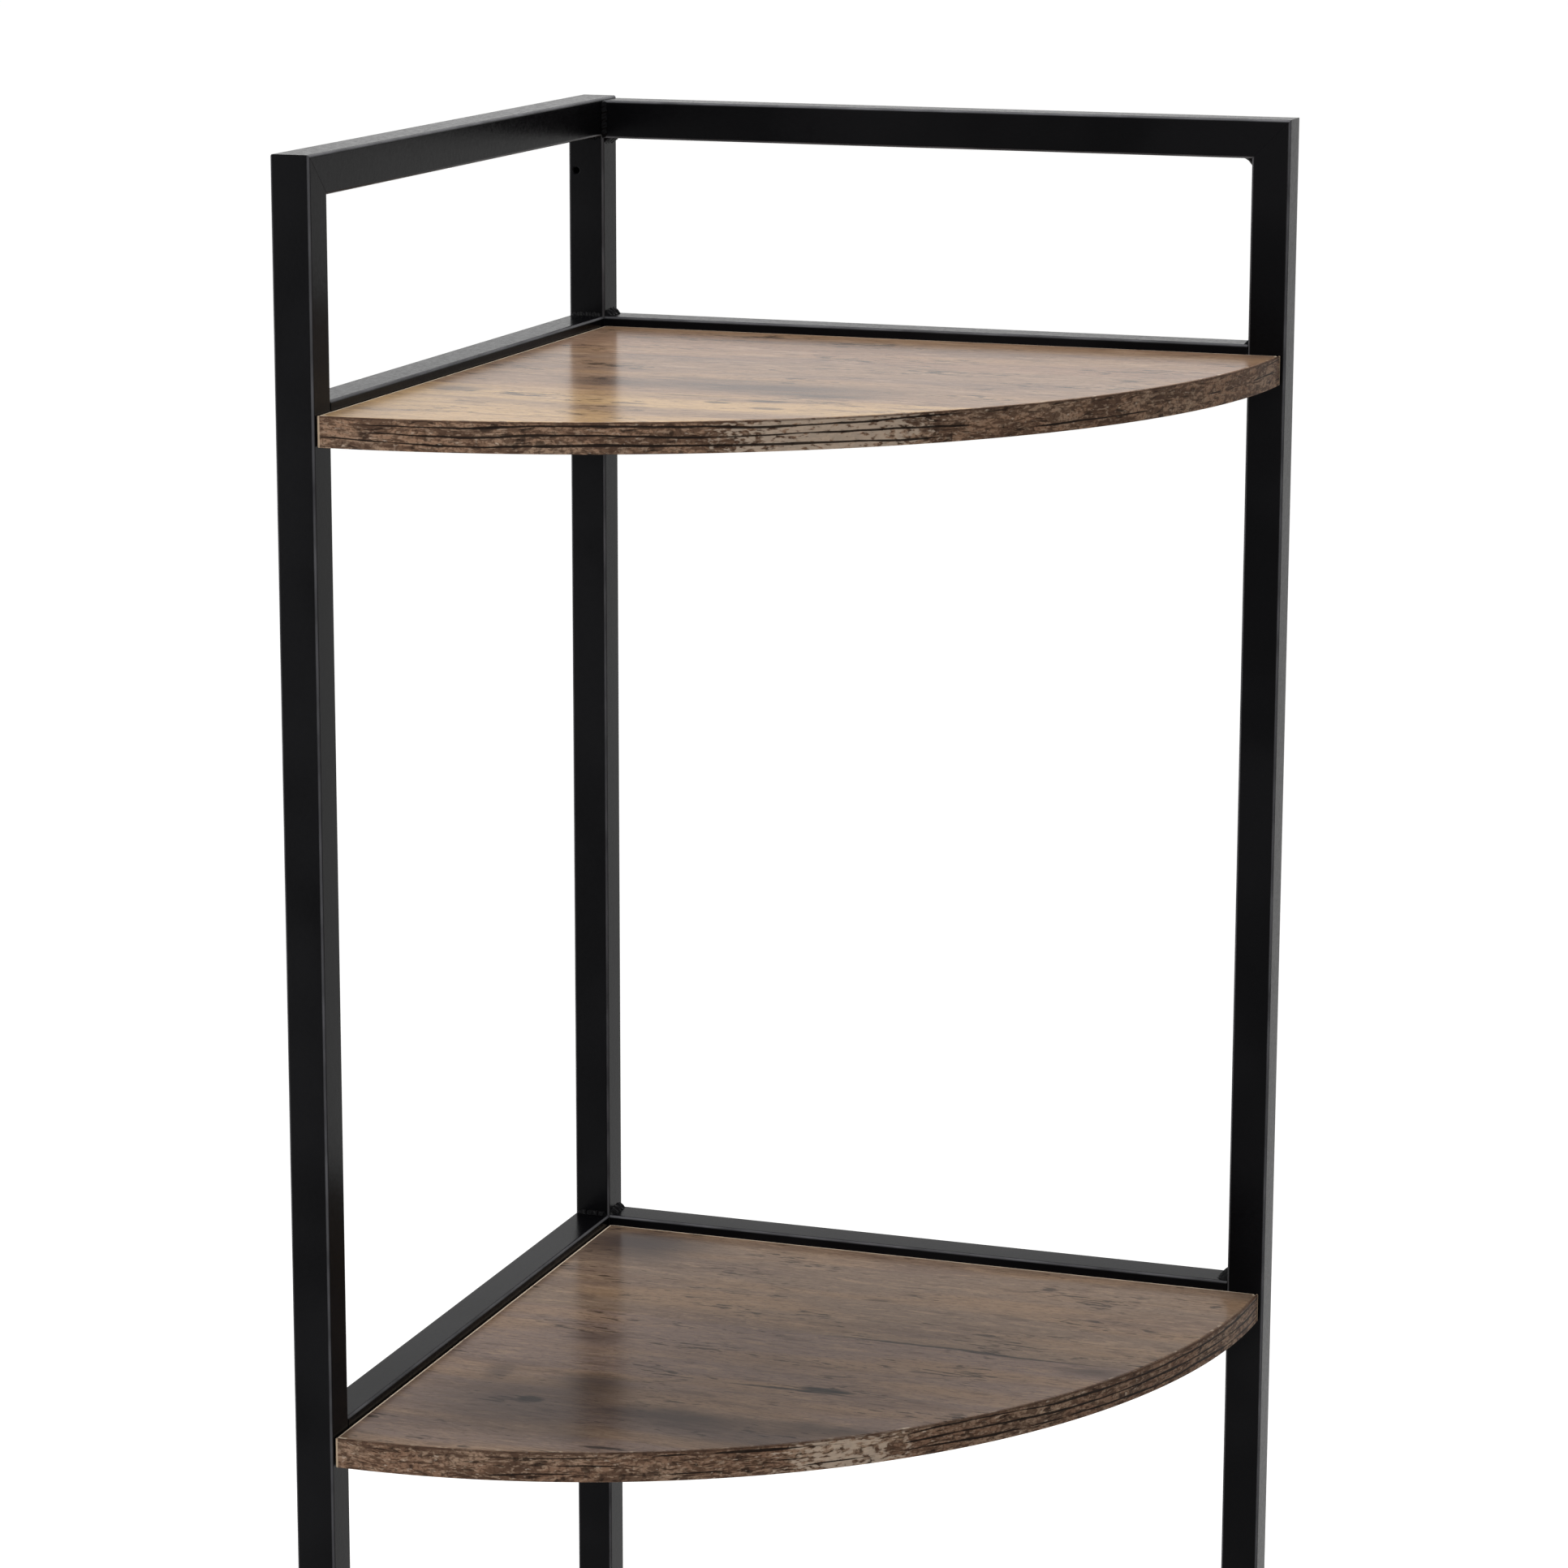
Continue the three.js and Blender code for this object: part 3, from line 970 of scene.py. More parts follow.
@dataclass(frozen=True)
class SquareTube:
    """A length of square steel tube inside a box, cut square or mitred at each end."""

    low: Triple
    high: Triple
    run: Axis
    start: Mitre | None = None
    end: Mitre | None = None
    edge_radius: float = 1.3 * MM
    wall: float = 1.0 * MM
    bore_radius: float = 0.6 * MM
    cut_rounding: float = 0.14 * MM
    cut_steps: int = 3

    def skin(self) -> Skin:
        """The tube's surface: out along the outside, back along the bore, and closed on itself.

        Each row is the section at one place along the tube. Near each cut the section is drawn in
        by a small quarter circle, which leaves a fine seam where two tubes meet. At a mitre, the
        row's place along the tube falls back by as much as a point lies from the longest side.

        Returns:
            The closed skin.
        """
        low, high = np.array(self.low), np.array(self.high)
        run = self.run.value
        first, second = (run + 1) % 3, (run + 2) % 3
        centre, half = (low + high) / 2, (high[first] - low[first]) / 2
        drawn, back = rounding(self.cut_rounding, self.cut_steps)
        outside = RoundRectangle(half, half, self.edge_radius)
        bore = RoundRectangle(half - self.wall, half - self.wall, self.bore_radius)
        sections = [outside.rings(drawn), outside.rings(drawn[::-1]), bore.rings(np.zeros(2))]
        rings = np.concatenate(sections)
        rows = np.empty((*rings.shape[:2], 3))
        rows[..., first] = centre[first] + rings[..., 0]
        rows[..., second] = centre[second] + rings[..., 1]
        lie_back = [np.zeros(rings.shape[:2]), np.zeros(rings.shape[:2])]
        for fall, mitre in zip(lie_back, (self.start, self.end)):
            if mitre:
                longest = (high if mitre.side > 0 else low)[mitre.axis.value]
                fall += np.abs(rows[..., mitre.axis.value] - longest)
        near, far = low[run] + lie_back[0], high[run] - lie_back[1]
        steps = len(back)
        rows[:steps, :, run] = near[:steps] + back[:, None]
        rows[steps : 2 * steps, :, run] = far[steps : 2 * steps] - back[::-1, None]
        rows[-2, :, run] = far[-2]
        rows[-1, :, run] = near[-1]
        skin = Skin()
        skin.add(rows, Ends.RING)
        return skin

    def mark_edges(self, mesh: Mesh) -> None:
        """Writes the attribute tube_edge: how near each point is to the middle of a long edge.

        Seen from the centre line, a point passes the flat part of the section by a and b along its
        two axes. The value is 2ab / (a^2 + b^2): 1 in the middle of a rounding, 0 on the flats.

        Args:
            mesh: The tube's mesh.
        """
        places = np.empty(len(mesh.vertices) * 3)
        mesh.vertices.foreach_get("co", places)
        low, high = np.array(self.low), np.array(self.high)
        flat = (high - low) / 2 - self.edge_radius
        past = np.maximum(np.abs(places.reshape(-1, 3) - (low + high) / 2) - flat, 0)
        past = np.delete(past, self.run.value, axis=1)
        share = 2 * past.prod(axis=1) / np.maximum((past**2).sum(axis=1), 1e-12)
        edge = mesh.attributes.new("tube_edge", "FLOAT", "POINT")
        edge.data.foreach_set("value", share.astype(np.float32))


@dataclass(frozen=True)
class WeldBead:
    """A bead of weld in the corner between two faces, coated over with the frame."""

    middle: Triple
    line: Vector  # along the corner
    first: Vector  # along one face, away from the corner
    second: Vector  # along the other face
    length: float
    leg: float  # how far the bead reaches up each face
    bulge: float  # how far it stands out from a hollow fillet
    phase: float
    ripple_pitch: float = 3.1 * MM
    ripple: float = 0.11  # how high the ripples are, as a share of the leg
    fine_ripple: float = 0.07  # the same of a second, finer set
    lump: float = 0.09  # and of the lumps
    end_share: float = 0.02  # what the square of the taper keeps at the ends
    root: float = 0.5 * MM
    rows: int = 41
    columns: int = 13

    def add_to(self, skin: Skin) -> None:
        """Adds the bead's surface to a skin.

        The section starts as a hollow quarter circle from face to face, leg x (1 - sin a) along
        one and leg x (1 - cos a) along the other, and swells by bulge x sin(2a) out of the
        corner. Along the bead the leg rises and falls in ripples, a sum of two sines, and a third
        sine that runs aslant makes lumps. Both ends taper as the square root of 1 - s^8. A last
        column of points lies in the root.

        Args:
            skin: The skin that takes the bead.
        """
        s = np.linspace(-1, 1, self.rows)[:, None]
        a = np.linspace(0, 1, self.columns)[None, :] * QUARTER_TURN
        turns = math.pi * self.length / self.ripple_pitch
        ripple = self.ripple * np.sin(turns * s + self.phase)
        ripple = ripple + self.fine_ripple * np.sin(1.7 * turns * s + 2 * self.phase)
        lumps = self.lump * np.sin(2.3 * turns * s + 3 * a + 4 * self.phase)
        taper = np.sqrt(np.maximum(1 - s**8, self.end_share))
        leg = self.leg * taper * (1 + ripple + 0 * a)
        out = (self.bulge * np.sin(2 * a) + self.leg * lumps * np.sin(2 * a)) * taper / math.sqrt(2)
        along_first = leg * (1 - np.sin(a)) + out
        along_second = leg * (1 - np.cos(a)) + out
        hidden = np.full_like(s, -self.root)
        along_first = np.hstack([along_first, hidden])
        along_second = np.hstack([along_second, hidden])
        rows = (
            np.array(self.middle)
            + (s * self.length / 2)[..., None] * np.array(self.line)
            + along_first[..., None] * np.array(self.first)
            + along_second[..., None] * np.array(self.second)
        )
        skin.add(rows, Ends.FLAT)


@dataclass(frozen=True)
class Plan:
    """The lines that the unit is set out on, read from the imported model."""

    tube: float
    wall_x: float  # outer side of the left wing
    inner_x: float  # inner side of the left wing
    inner_y: float  # inner side of the right wing
    wall_y: float  # outer side of the right wing
    left_end: float  # inner side of the left front leg, in Y
    right_end: float  # inner side of the right front leg, in X
    undersides: dict[int, float]  # underside of each shelf's rails and board

    @classmethod
    def from_model(cls) -> "Plan":
        """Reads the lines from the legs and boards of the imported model.

        Returns:
            The plan.
        """
        low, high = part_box("corner_upright")
        boards = [name for name in frame["nodes"] if name.startswith("shelf_board_")]
        return cls(
            tube=high.x - low.x,
            wall_x=low.x,
            inner_x=high.x,
            inner_y=low.y,
            wall_y=high.y,
            left_end=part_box("left_front_upright")[1].y,
            right_end=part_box("right_front_upright")[0].x,
            undersides={int(name.rsplit("_", 1)[1]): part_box(name)[0].z for name in boards},
        )


@dataclass
class SteelFrame:
    """Three legs, two top rails and a pair of rails for each shelf, welded together."""

    plan: Plan
    coat: Material
    left_bead: float = 1.7 * MM
    right_bead: float = 2.6 * MM
    bulge_share: float = 0.3  # of a bead's size
    flat_share: float = 0.25
    fillets: tuple[float, ...] = (4.6 * MM, 2.2 * MM, 4.8 * MM, 3.4 * MM, 3.8 * MM)  # top rail first
    seam_bead: float = 1.8 * MM
    weld_width_share: float = 0.86  # of the tube's side
    vent_radius: float = 1.25 * MM
    vent_rim: float = 0.8 * MM
    vent_from_edge: float = 3.5 * MM
    vent_below_rail: float = 15 * MM
    vent_depth: float = 2 * MM
    vent_steps: int = 5
    vent_sides: int = 32

    def build(self) -> None:
        """Makes every tube and its welds."""
        self.legs()
        self.top_rails()
        for number, underside in self.plan.undersides.items():
            self.shelf_rails(number, underside)

    def tube(self, node: str, tube: SquareTube, *cutters: Mesh) -> None:
        """Adds a tube that stands for a node of the same name.

        Args:
            node: The node.
            tube: The tube.
            cutters: What is cut out of it.
        """
        mesh = tube.skin().mesh(f"{node}_tube")
        if cutters:
            mesh = carve(mesh, *cutters)
        tube.mark_edges(mesh)
        add_piece(f"{node}_tube", mesh, self.coat, Slot.FRAME, node)

    def legs(self) -> None:
        """The legs, mitred at the top with their long sides outwards."""
        run = {"run": Axis.Z}
        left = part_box("left_front_upright")
        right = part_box("right_front_upright")
        self.tube("left_front_upright", SquareTube(*left, **run, end=Mitre(Axis.Y, -1)))
        self.tube("right_front_upright", SquareTube(*right, **run, end=Mitre(Axis.X, 1)))
        corner = SquareTube(*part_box("corner_upright"), **run, end=Mitre(Axis.Y, 1))
        self.tube("corner_upright", corner, self.vent_cutter())

    def vent_cutter(self) -> Mesh:
        """What the vent hole takes from the corner leg's front wall.

        It is a round pin along Y that flares at the wall's surface by a quarter circle, where the
        coating has drawn back over the rim of the hole.

        Returns:
            The closed mesh of the cutter.
        """
        plan = self.plan
        drawn, back = rounding(self.vent_rim, self.vent_steps)
        radii = np.concatenate([[self.vent_radius + self.vent_rim], self.vent_radius + drawn])
        heights = np.concatenate([[self.vent_rim], -back])
        radii = np.append(radii, self.vent_radius)
        heights = np.append(heights, -self.vent_depth)
        pin = revolved(radii, heights, self.vent_sides)
        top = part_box("left_top_rail")[1].z - plan.tube
        rows = np.empty_like(pin)
        rows[..., 0] = plan.wall_x + self.vent_from_edge + pin[..., 0]
        rows[..., 1] = plan.inner_y - pin[..., 2]
        rows[..., 2] = top - self.vent_below_rail + pin[..., 1]
        skin = Skin()
        skin.add(rows, Ends.FLAT)
        return skin.mesh("vent")

    def top_rails(self) -> None:
        """The top rails. The left one runs over both of its legs, and the right one butts it."""
        plan = self.plan
        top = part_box("left_top_rail")[1].z
        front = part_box("left_front_upright")[0].y
        low, high = (plan.wall_x, front, top - plan.tube), (plan.inner_x, plan.wall_y, top)
        mitres = {"start": Mitre(Axis.Z, 1), "end": Mitre(Axis.Z, 1)}
        self.tube("left_top_rail", SquareTube(low, high, Axis.Y, **mitres))
        right_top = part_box("right_top_rail")[1].z
        right_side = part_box("right_front_upright")[1].x
        low = (plan.inner_x, plan.inner_y, right_top - plan.tube)
        high = (right_side, plan.wall_y, right_top)
        self.tube("right_top_rail", SquareTube(low, high, Axis.X, end=Mitre(Axis.Z, 1)))
        self.welds("left_top_rail", self.beads(Axis.Y, top - plan.tube, -1, self.left_bead, phase=1.3))
        seam = WeldBead(
            middle=(plan.inner_x, plan.inner_y, right_top - plan.tube / 2),
            line=Vector((0, 0, 1)),
            first=Vector((1, 0, 0)),
            second=Vector((0, -1, 0)),
            length=plan.tube,
            leg=self.seam_bead,
            bulge=self.seam_bead * self.bulge_share,
            phase=0.7,
        )
        beads = self.beads(Axis.X, right_top - plan.tube, -1, self.fillets[0], phase=4.1)
        self.welds("right_top_rail", [*beads, seam])

    def shelf_rails(self, number: int, underside: float) -> None:
        """The two rails beside one shelf, with beads above and below at both ends.

        Args:
            number: The shelf, counted from the top.
            underside: The height of the rails' undersides.
        """
        plan = self.plan
        top = underside + plan.tube
        low, high = (plan.wall_x, plan.left_end, underside), (plan.inner_x, plan.inner_y, top)
        self.tube(f"left_shelf_rail_{number}", SquareTube(low, high, Axis.Y))
        low, high = (plan.inner_x, plan.inner_y, underside), (plan.right_end, plan.wall_y, top)
        self.tube(f"right_shelf_rail_{number}", SquareTube(low, high, Axis.X))
        for axis, side in ((Axis.Y, "left"), (Axis.X, "right")):
            phase = 1.9 * number + 0.8 * axis.value  # uneven steps, so that no two rails are alike
            fillet = self.fillets[number]
            beads = self.beads(axis, top, 1, fillet, phase)
            beads += self.beads(axis, underside, -1, fillet, phase + 2.4)
            self.welds(f"{side}_shelf_rail_{number}", beads)

    def beads(self, run: Axis, height: float, rise: int, fillet: float, phase: float) -> list[WeldBead]:
        """The two beads on one face of a rail, at the corner leg and at the front leg.

        Those at the corner leg are raised. Those at the front leg are hollow fillets below the
        rail and nearly flat ones above it.

        Args:
            run: The axis that the rail runs along.
            height: The height of that face.
            rise: 1 for a face that looks up, -1 for one that looks down.
            fillet: The size of the hollow bead.
            phase: Where the ripples start, so that no two beads are alike.

        Returns:
            The beads.
        """
        plan = self.plan
        up = Vector((0, 0, rise))
        if run is Axis.X:
            line, out, centre = Vector((0, 1, 0)), Vector((1, 0, 0)), (plan.inner_y + plan.wall_y) / 2
            ends, bead = ((plan.inner_x, centre), (plan.right_end, centre)), self.right_bead
        else:
            line, out, centre = Vector((1, 0, 0)), Vector((0, -1, 0)), (plan.wall_x + plan.inner_x) / 2
            ends, bead = ((centre, plan.inner_y), (centre, plan.left_end)), self.left_bead
        width = plan.tube * self.weld_width_share
        flat = fillet * self.flat_share if rise > 0 else 0.0
        sizes = ((out, bead, bead * self.bulge_share), (-out, fillet, flat))
        return [
            WeldBead((*end, height), line, away, up, width, leg, bulge, phase + 5 * (away == out))
            for end, (away, leg, bulge) in zip(ends, sizes)
        ]

    def welds(self, node: str, beads: list[WeldBead]) -> None:
        """Adds the beads that belong to a rail as one piece.

        Args:
            node: The rail.
            beads: Its beads.
        """
        skin = Skin()
        for bead in beads:
            bead.add_to(skin)
        add_piece(f"{node}_welds", skin.mesh(f"{node}_welds"), self.coat, Slot.FRAME, node)


# Shelves


@dataclass(frozen=True)
class QuarterRound:
    """The outline of a board: a quarter circle about the inner corner of the wings."""

    corner: tuple[float, float]
    radius: float
    gap: float  # between the straight edges and the rails
    corner_radius: float = 1.3 * MM
    corner_steps: int = 4
    arc_steps: int = 128
    arc_highlight: float = 0.72  # of the pale line on the straight edges; on the arc the line is a painted highlight only

    def rings(self, inset: Array) -> Array:
        """The outline drawn in by each of several distances.

        Four arcs follow one another, and straight lines join them. Three are the small roundings
        of the corners, with radius c = corner_radius - inset about fixed centres, and one is the
        curved edge, with radius - inset about the inner corner. A tip's centre lies where the
        line at gap + corner_radius from the rail meets the circle of radius - corner_radius.

        Args:
            inset: The distances by which the outline is drawn in.

        Returns:
            Points as insets x points round the outline x 2.
        """
        off, far = self.gap + self.corner_radius, self.radius - self.corner_radius
        lean = math.asin(off / far)
        tip = far * math.cos(lean)
        small = np.linspace(0, 1, self.corner_steps + 1)
        large = np.linspace(0, 1, self.arc_steps + 1)[1:-1]
        sweep = QUARTER_TURN - 2 * lean
        angles = (
            QUARTER_TURN - (QUARTER_TURN + lean) * small,
            -lean - sweep * large,
            -QUARTER_TURN + lean - (QUARTER_TURN + lean) * small,
            math.pi - QUARTER_TURN * small,
        )
        centres = ((tip, -off), (0.0, 0.0), (off, -tip), (off, -off))
        radii = (self.corner_radius, self.radius, self.corner_radius, self.corner_radius)
        angle = np.concatenate(angles)
        counts = [len(part) for part in angles]
        centre = np.repeat(np.array(centres), counts, axis=0) + np.array(self.corner)
        reach = np.repeat(np.array(radii), counts) - inset[:, None]
        return reach[..., None] * np.stack([np.cos(angle), np.sin(angle)], axis=-1) + centre

    def edge_line_strength(self) -> Array:
        """How strong the pale edge line is at each point: 1 on the sawn straight edges, where it is worn
        print and a painted highlight, and less on the arc, where it is a painted highlight only.
        """
        small = np.ones(self.corner_steps + 1)
        return np.concatenate([small, np.full(self.arc_steps - 1, self.arc_highlight), small, small])


@dataclass
class Shelf:
    """One board with its edge band."""

    number: int
    plan: Plan
    print_face: Material
    band_face: Material
    arris: float = 0.55 * MM
    arris_steps: int = 4
    pale_line_width: float = 0.45 * MM  # how far the pale edge line reaches in: broken print, and a painted highlight on the flat beside the edge
    pale_line_fade: float = 1.2  # where that ends, as a share of it
    board_gap: float = 0.5 * MM
    band_thickness: float = 1.0 * MM
    band_arris: float = 0.35 * MM
    end_arris: float = 0.8  # the rounding of the strip's ends, as a share of that
    pale_tip: float = 0.8 * MM  # how far the pale line reaches at each end of the strip: worn-off print and a painted highlight
    pale_tip_fade: float = 0.3 * MM
    pale_tip_share: float = 0.8
    band_rows: int = 128

    def build(self) -> None:
        """Makes the board and its band."""
        self.board()
        self.band()

    def board(self) -> None:
        """The board: its outline carried from the underside up over both rounded edges."""
        node = f"shelf_board_{self.number}"
        low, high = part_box(node)
        corner = (self.plan.inner_x, self.plan.inner_y)
        outline = QuarterRound(corner, self.band_radii()[0], self.board_gap)
        drawn, back = rounding(self.arris, self.arris_steps)
        drawn = np.concatenate([drawn[0] + self.pale_line_width * np.array([self.pale_line_fade, 1.0]), drawn])
        back = np.concatenate([[0.0, 0.0], back])
        rings = outline.rings(np.concatenate([drawn, drawn[::-1]]))
        heights = np.concatenate([low.z + back, high.z - back[::-1]])
        tall = np.broadcast_to(heights[:, None, None], (*rings.shape[:2], 1))
        # Rows of the pale edge line: worn print and a painted highlight, laid on the flat beside the
        # rounding.
        worn = np.append(0.0, np.ones(len(drawn) - 1))
        bare = np.outer(np.concatenate([worn, worn[::-1]]), outline.edge_line_strength())
        skin = Skin()
        skin.add(np.concatenate([rings, tall], axis=-1), Ends.FLAT, bare_edge=bare)
        mesh = skin.mesh(f"{node}_panel")
        add_piece(f"{node}_panel", mesh, self.print_face, Slot.BOARD, node)

    def band_radii(self) -> tuple[float, float]:
        """Reads how far the edge band lies from the inner corner.

        Returns:
            The band's inner and outer radius.
        """
        low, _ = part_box(f"edge_band_{self.number}")
        outer = math.hypot(self.plan.inner_y - low.y, self.board_gap)
        return outer - self.band_thickness, outer

    def band(self) -> None:
        """The edge band: a thin upright rectangle carried along the curved edge.

        A point at a distance r from the inner corner, an angle t past the right wing and a height
        z is (r cos t, -r sin t, z). The section is drawn in by a quarter circle at both ends.
        """
        node = f"edge_band_{self.number}"
        low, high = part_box(node)
        inner, outer = self.band_radii()
        thickness, tall = outer - inner, high.z - low.z
        section = RoundRectangle(thickness / 2, tall / 2, self.band_arris, 4)
        margin = math.asin(self.board_gap / outer)
        drawn, back = rounding(self.band_arris * self.end_arris, 3)
        back = np.append(back, self.pale_tip)
        drawn = np.append(drawn, 0.0)
        lip = margin + (self.pale_tip + self.pale_tip_fade) / outer
        middle = np.linspace(lip, QUARTER_TURN - lip, self.band_rows)
        ends = margin + back / outer
        angle = np.concatenate([ends, middle, QUARTER_TURN - margin - back[::-1] / outer])
        inset = np.concatenate([drawn, np.zeros(len(middle)), drawn[::-1]])
        rings = section.rings(inset)
        radius = (inner + outer) / 2 + rings[..., 0]
        rows = np.stack(
            [
                self.plan.inner_x + radius * np.cos(angle)[:, None],
                self.plan.inner_y - radius * np.sin(angle)[:, None],
                (low.z + high.z) / 2 + rings[..., 1],
            ],
            axis=-1,
        )
        arc = np.broadcast_to((angle * outer)[:, None], radius.shape)
        place = np.stack([arc, radius - outer, rings[..., 1]], axis=-1)
        # Painted highlight at the strip's ends, over worn-off print.
        bare = np.zeros(radius.shape)
        bare[: len(back)] = bare[-len(back) :] = self.pale_tip_share
        skin = Skin()
        skin.add(rows, Ends.FLAT, strip_place=place, bare_edge=bare)
        mesh = skin.mesh(f"{node}_strip")
        add_piece(f"{node}_strip", mesh, self.band_face, Slot.EDGE_BAND, node)


# The studio


@dataclass(frozen=True)
class Eye:
    """The photograph's viewpoint, found by fitting the edges of the tubes and boards to it."""

    place: Triple = (0.6245, -1.8242, 1.5386)
    turn_degrees: float = 19.184  # to the left of +Y
    tilt_degrees: float = 12.219  # below the horizon
    roll_degrees: float = 0.126
    focal_pixels: float = 6075.1
    frame_pixels: float = 1932.0
    sensor_width: float = 36.0  # in millimetres
    farthest: float = 200.0

    def camera(self) -> None:
        """Makes the scene's camera: turned about Z, tilted about X, then rolled about its axis."""
        data = bpy.data.cameras.new("camera")
        data.sensor_width = self.sensor_width
        data.lens = self.sensor_width * self.focal_pixels / self.frame_pixels
        data.clip_end = self.farthest
        camera = put("camera", data)
        turn = Matrix.Rotation(math.radians(self.turn_degrees), 4, "Z")
        tilt = Matrix.Rotation(QUARTER_TURN - math.radians(self.tilt_degrees), 4, "X")
        roll = Matrix.Rotation(math.radians(self.roll_degrees), 4, "Z")
        camera.matrix_world = Matrix.Translation(self.place) @ turn @ tilt @ roll
        bpy.context.scene.camera = camera


@dataclass(frozen=True)
class Softbox:
    """A large soft lamp that looks at the unit."""

    name: str
    place: Triple
    width: float
    height: float
    watts: float
    target: Triple = (0.0, 0.0, 0.9)

    def lamp(self) -> None:
        """Makes the lamp. The camera doesn't see it from any side."""
        data = bpy.data.lights.new(self.name, "AREA")
        data.shape = "RECTANGLE"
        data.size = self.width
        data.size_y = self.height
        data.energy = self.watts
        lamp = put(self.name, data)
        lamp.location = self.place
        aim = Vector(self.target) - Vector(self.place)
        lamp.rotation_euler = aim.to_track_quat("-Z", "Y").to_euler()
        lamp.visible_camera = False


@dataclass(frozen=True)
class Studio:
    """A plain pale floor, a white background, a room of soft light, and softboxes."""

    floor_size: float = 60.0
    floor_colour: str = "#dcdbd9"
    floor_lift: float = 0.745  # added where the floor is seen or mirrored, so that it reads as white
    back: Triple = (-0.6, 0.8, 0.0)
    front_level: float = 0.05
    back_level: float = 0.56
    wall_rise: tuple[float, float] = (-0.6, 0.8)  # from the front to the back, as cosines
    ceiling_level: float = 0.16  # added overhead
    ceiling_rise: tuple[float, float] = (0.35, 0.8)  # up to the ceiling, as sines
    softboxes: tuple[Softbox, ...] = (
        Softbox("overhead_softbox", (-0.1, 0.3, 3.2), 1.4, 1.4, 42.0),
        Softbox("front_softbox", (0.6, -2.5, 1.7), 0.8, 1.1, 19.0),
        Softbox("left_softbox", (-1.9, -1.35, 1.2), 2.4, 2.2, 29.0),
    )

    def build(self) -> None:
        """Makes the floor, the background and the lamps."""
        self.floor()
        self.background()
        for softbox in self.softboxes:
            softbox.lamp()

    def floor(self) -> None:
        """The floor: pale matt paint that takes shadows, lifted to white for the camera."""
        half = self.floor_size / 2
        mesh = bpy.data.meshes.new("floor")
        corners = [(-half, -half, 0), (half, -half, 0), (half, half, 0), (-half, half, 0)]
        mesh.from_pydata(corners, [], [(0, 1, 2, 3)])
        material = bpy.data.materials.new("pale_matt_floor")
        tree = emptied(material)
        paint = add_node(tree, "ShaderNodeBsdfDiffuse", {"Color": linear(self.floor_colour)})
        seen = self.shown(tree)
        strength = add_node(tree, "ShaderNodeMath", {0: seen, 1: self.floor_lift}, operation="MULTIPLY")
        glow = add_node(tree, "ShaderNodeEmission", {"Strength": strength.outputs[0]})
        both = add_node(tree, "ShaderNodeAddShader", {0: paint.outputs[0], 1: glow.outputs[0]})
        add_node(tree, "ShaderNodeOutputMaterial", {"Surface": both.outputs[0]})
        mesh.materials.append(material)
        floor = put("floor", mesh)

    def shown(self, tree: Tree) -> Socket:
        """Tells the rays that show the white background from those that only carry light.

        Args:
            tree: The node tree.

        Returns:
            1 for a camera ray, or one that a glossy or clear surface sends on, and 0 for the rest.
        """
        path = add_node(tree, "ShaderNodeLightPath").outputs
        seen = path["Is Camera Ray"]
        for kind in ("Is Glossy Ray", "Is Transmission Ray"):
            seen = add_node(tree, "ShaderNodeMath", {0: seen, 1: path[kind]}, operation="MAXIMUM").outputs[0]
        return seen

    def background(self) -> None:
        """The room: white where it is seen or mirrored. Its light is stronger behind and above."""
        world = bpy.data.worlds.new("room")
        tree = emptied(world)
        way = add_node(tree, "ShaderNodeTexCoord").outputs["Generated"]
        backwards = add_node(tree, "ShaderNodeVectorMath", {0: way, 1: self.back}, operation="DOT_PRODUCT")
        wall = {"Value": backwards.outputs["Value"], "To Min": self.front_level}
        wall |= {"To Max": self.back_level} | dict(zip(("From Min", "From Max"), self.wall_rise))
        wall = add_node(tree, "ShaderNodeMapRange", wall, interpolation_type="SMOOTHSTEP")
        height = add_node(tree, "ShaderNodeSeparateXYZ", {0: way}).outputs["Z"]
        above = {"Value": height, "To Max": self.ceiling_level}
        above |= dict(zip(("From Min", "From Max"), self.ceiling_rise))
        above = add_node(tree, "ShaderNodeMapRange", above, interpolation_type="SMOOTHSTEP")
        level = {0: wall.outputs[0], 1: above.outputs[0]}
        level = add_node(tree, "ShaderNodeMath", level, operation="ADD").outputs[0]
        white = linear("#ffffff")
        light = add_node(tree, "ShaderNodeBackground", {"Color": white, "Strength": level})
        plain = add_node(tree, "ShaderNodeBackground", {"Color": white, "Strength": 1.0})
        both = {0: self.shown(tree), 1: light.outputs[0], 2: plain.outputs[0]}
        mix = add_node(tree, "ShaderNodeMixShader", both)
        add_node(tree, "ShaderNodeOutputWorld", {"Surface": mix.outputs[0]})
        bpy.context.scene.world = world


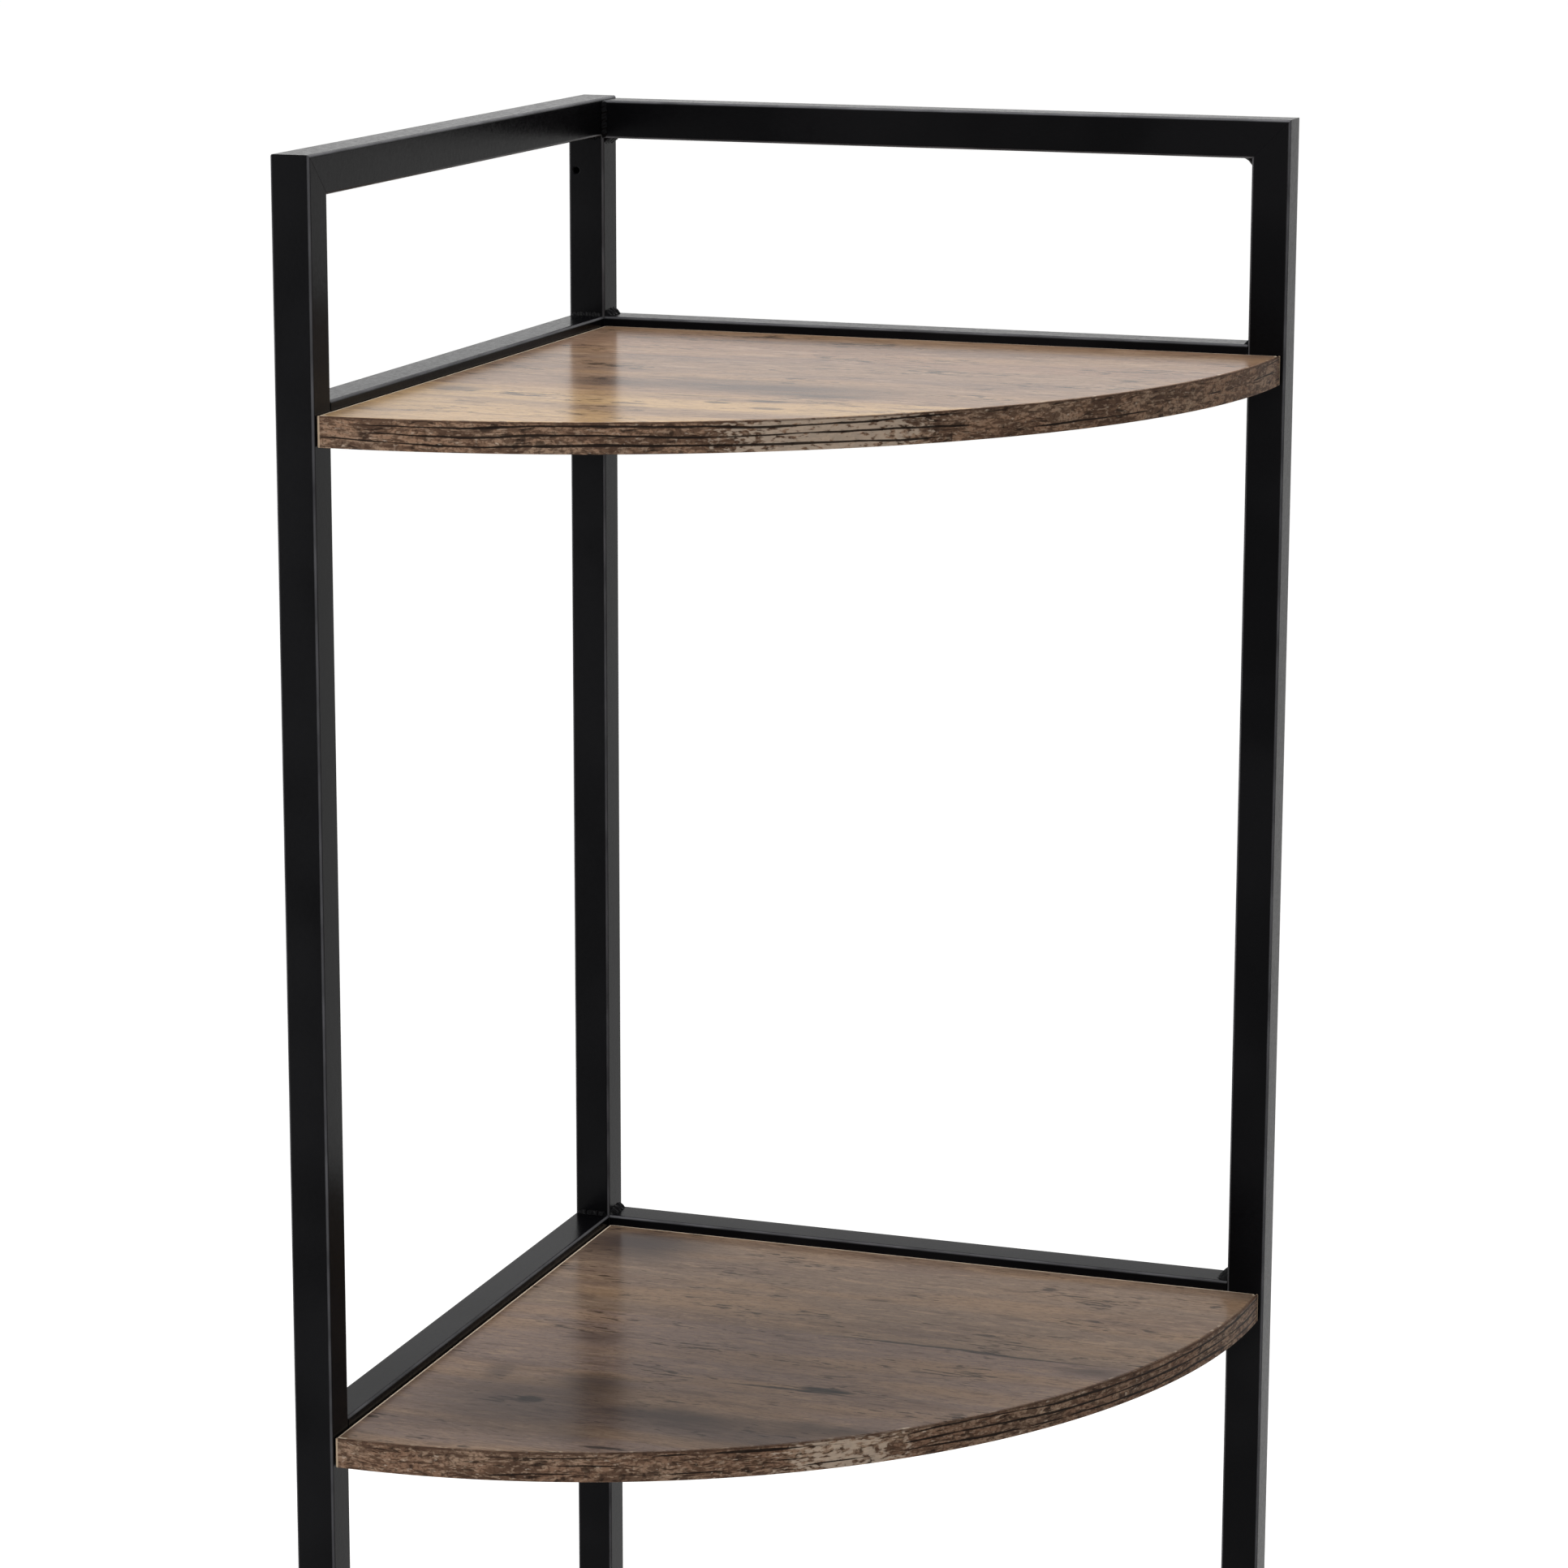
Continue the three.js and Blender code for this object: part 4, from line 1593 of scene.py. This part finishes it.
@dataclass(frozen=True)
class SmallParts:
    """The tabs, screws and feet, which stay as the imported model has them, with softened edges."""

    tab_edge: float = 0.35 * MM
    screw_edge: float = 0.12 * MM
    foot_edge: float = 0.3 * MM
    joined_within: float = 0.005 * MM
    segments: int = 3
    sharp_degrees: float = 40.0  # edges between faces that meet at more than this are rounded

    def finish(self, coat: Material, zinc: Material, plastic: Material) -> None:
        """Gives each part its finish, and rounds its edges.

        Args:
            coat: The finish of the tabs.
            zinc: The finish of the screws.
            plastic: The finish of the feet.
        """
        kinds = (
            ("_tab_", coat, self.tab_edge),
            ("_screw_", zinc, self.screw_edge),
            ("_foot", plastic, self.foot_edge),
        )
        for word, material, edge in kinds:
            for name in filter(lambda name: word in name, frame["nodes"]):
                self.soften(frame["nodes"][name], edge)
                for slot in frame["nodes"][name].material_slots:
                    slot.material = material
                log.info("%s: %s", name, material.name)

    def soften(self, part: bpy.types.Object, edge: float) -> None:
        """Joins a part's loose triangles and rounds its sharp edges.

        Args:
            part: The part.
            edge: The width of the rounding.
        """
        weld = part.modifiers.new("weld", "WELD")
        weld.merge_threshold = self.joined_within
        bevel = part.modifiers.new("soft_edges", "BEVEL")
        bevel.width = edge
        bevel.segments = self.segments
        bevel.limit_method = "ANGLE"
        bevel.angle_limit = math.radians(self.sharp_degrees)


def main() -> None:
    """Builds the studio and the shelf unit, piece by piece."""
    logging.basicConfig(level=logging.INFO, format="%(name)s: %(message)s")
    bpy.context.scene.view_settings.view_transform = "Standard"
    Eye().camera()
    Studio().build()
    coat = PowderCoat().material()
    zinc = BlackZinc().material()
    plastic = MouldedPlastic().material()
    plan = Plan.from_model()
    SteelFrame(plan, coat).build()
    corner = (plan.inner_x, plan.inner_y)
    for number in plan.undersides:
        marks = (PLANK_TONES_AND_SHADE[number], SMOKE_AND_SHADE_MARKS[number], CRACKS[number])
        print_face = OakPrint(f"oak_print_melamine_{number}", corner, 5.3 * number, *marks).material()
        band_face = GrainBand(f"dark_grain_edge_strip_{number}", 4.1 * number, **STRIPS[number]).material()
        Shelf(number, plan, print_face, band_face).build()
    SmallParts().finish(coat, zinc, plastic)


if __name__ == "__main__":
    main()
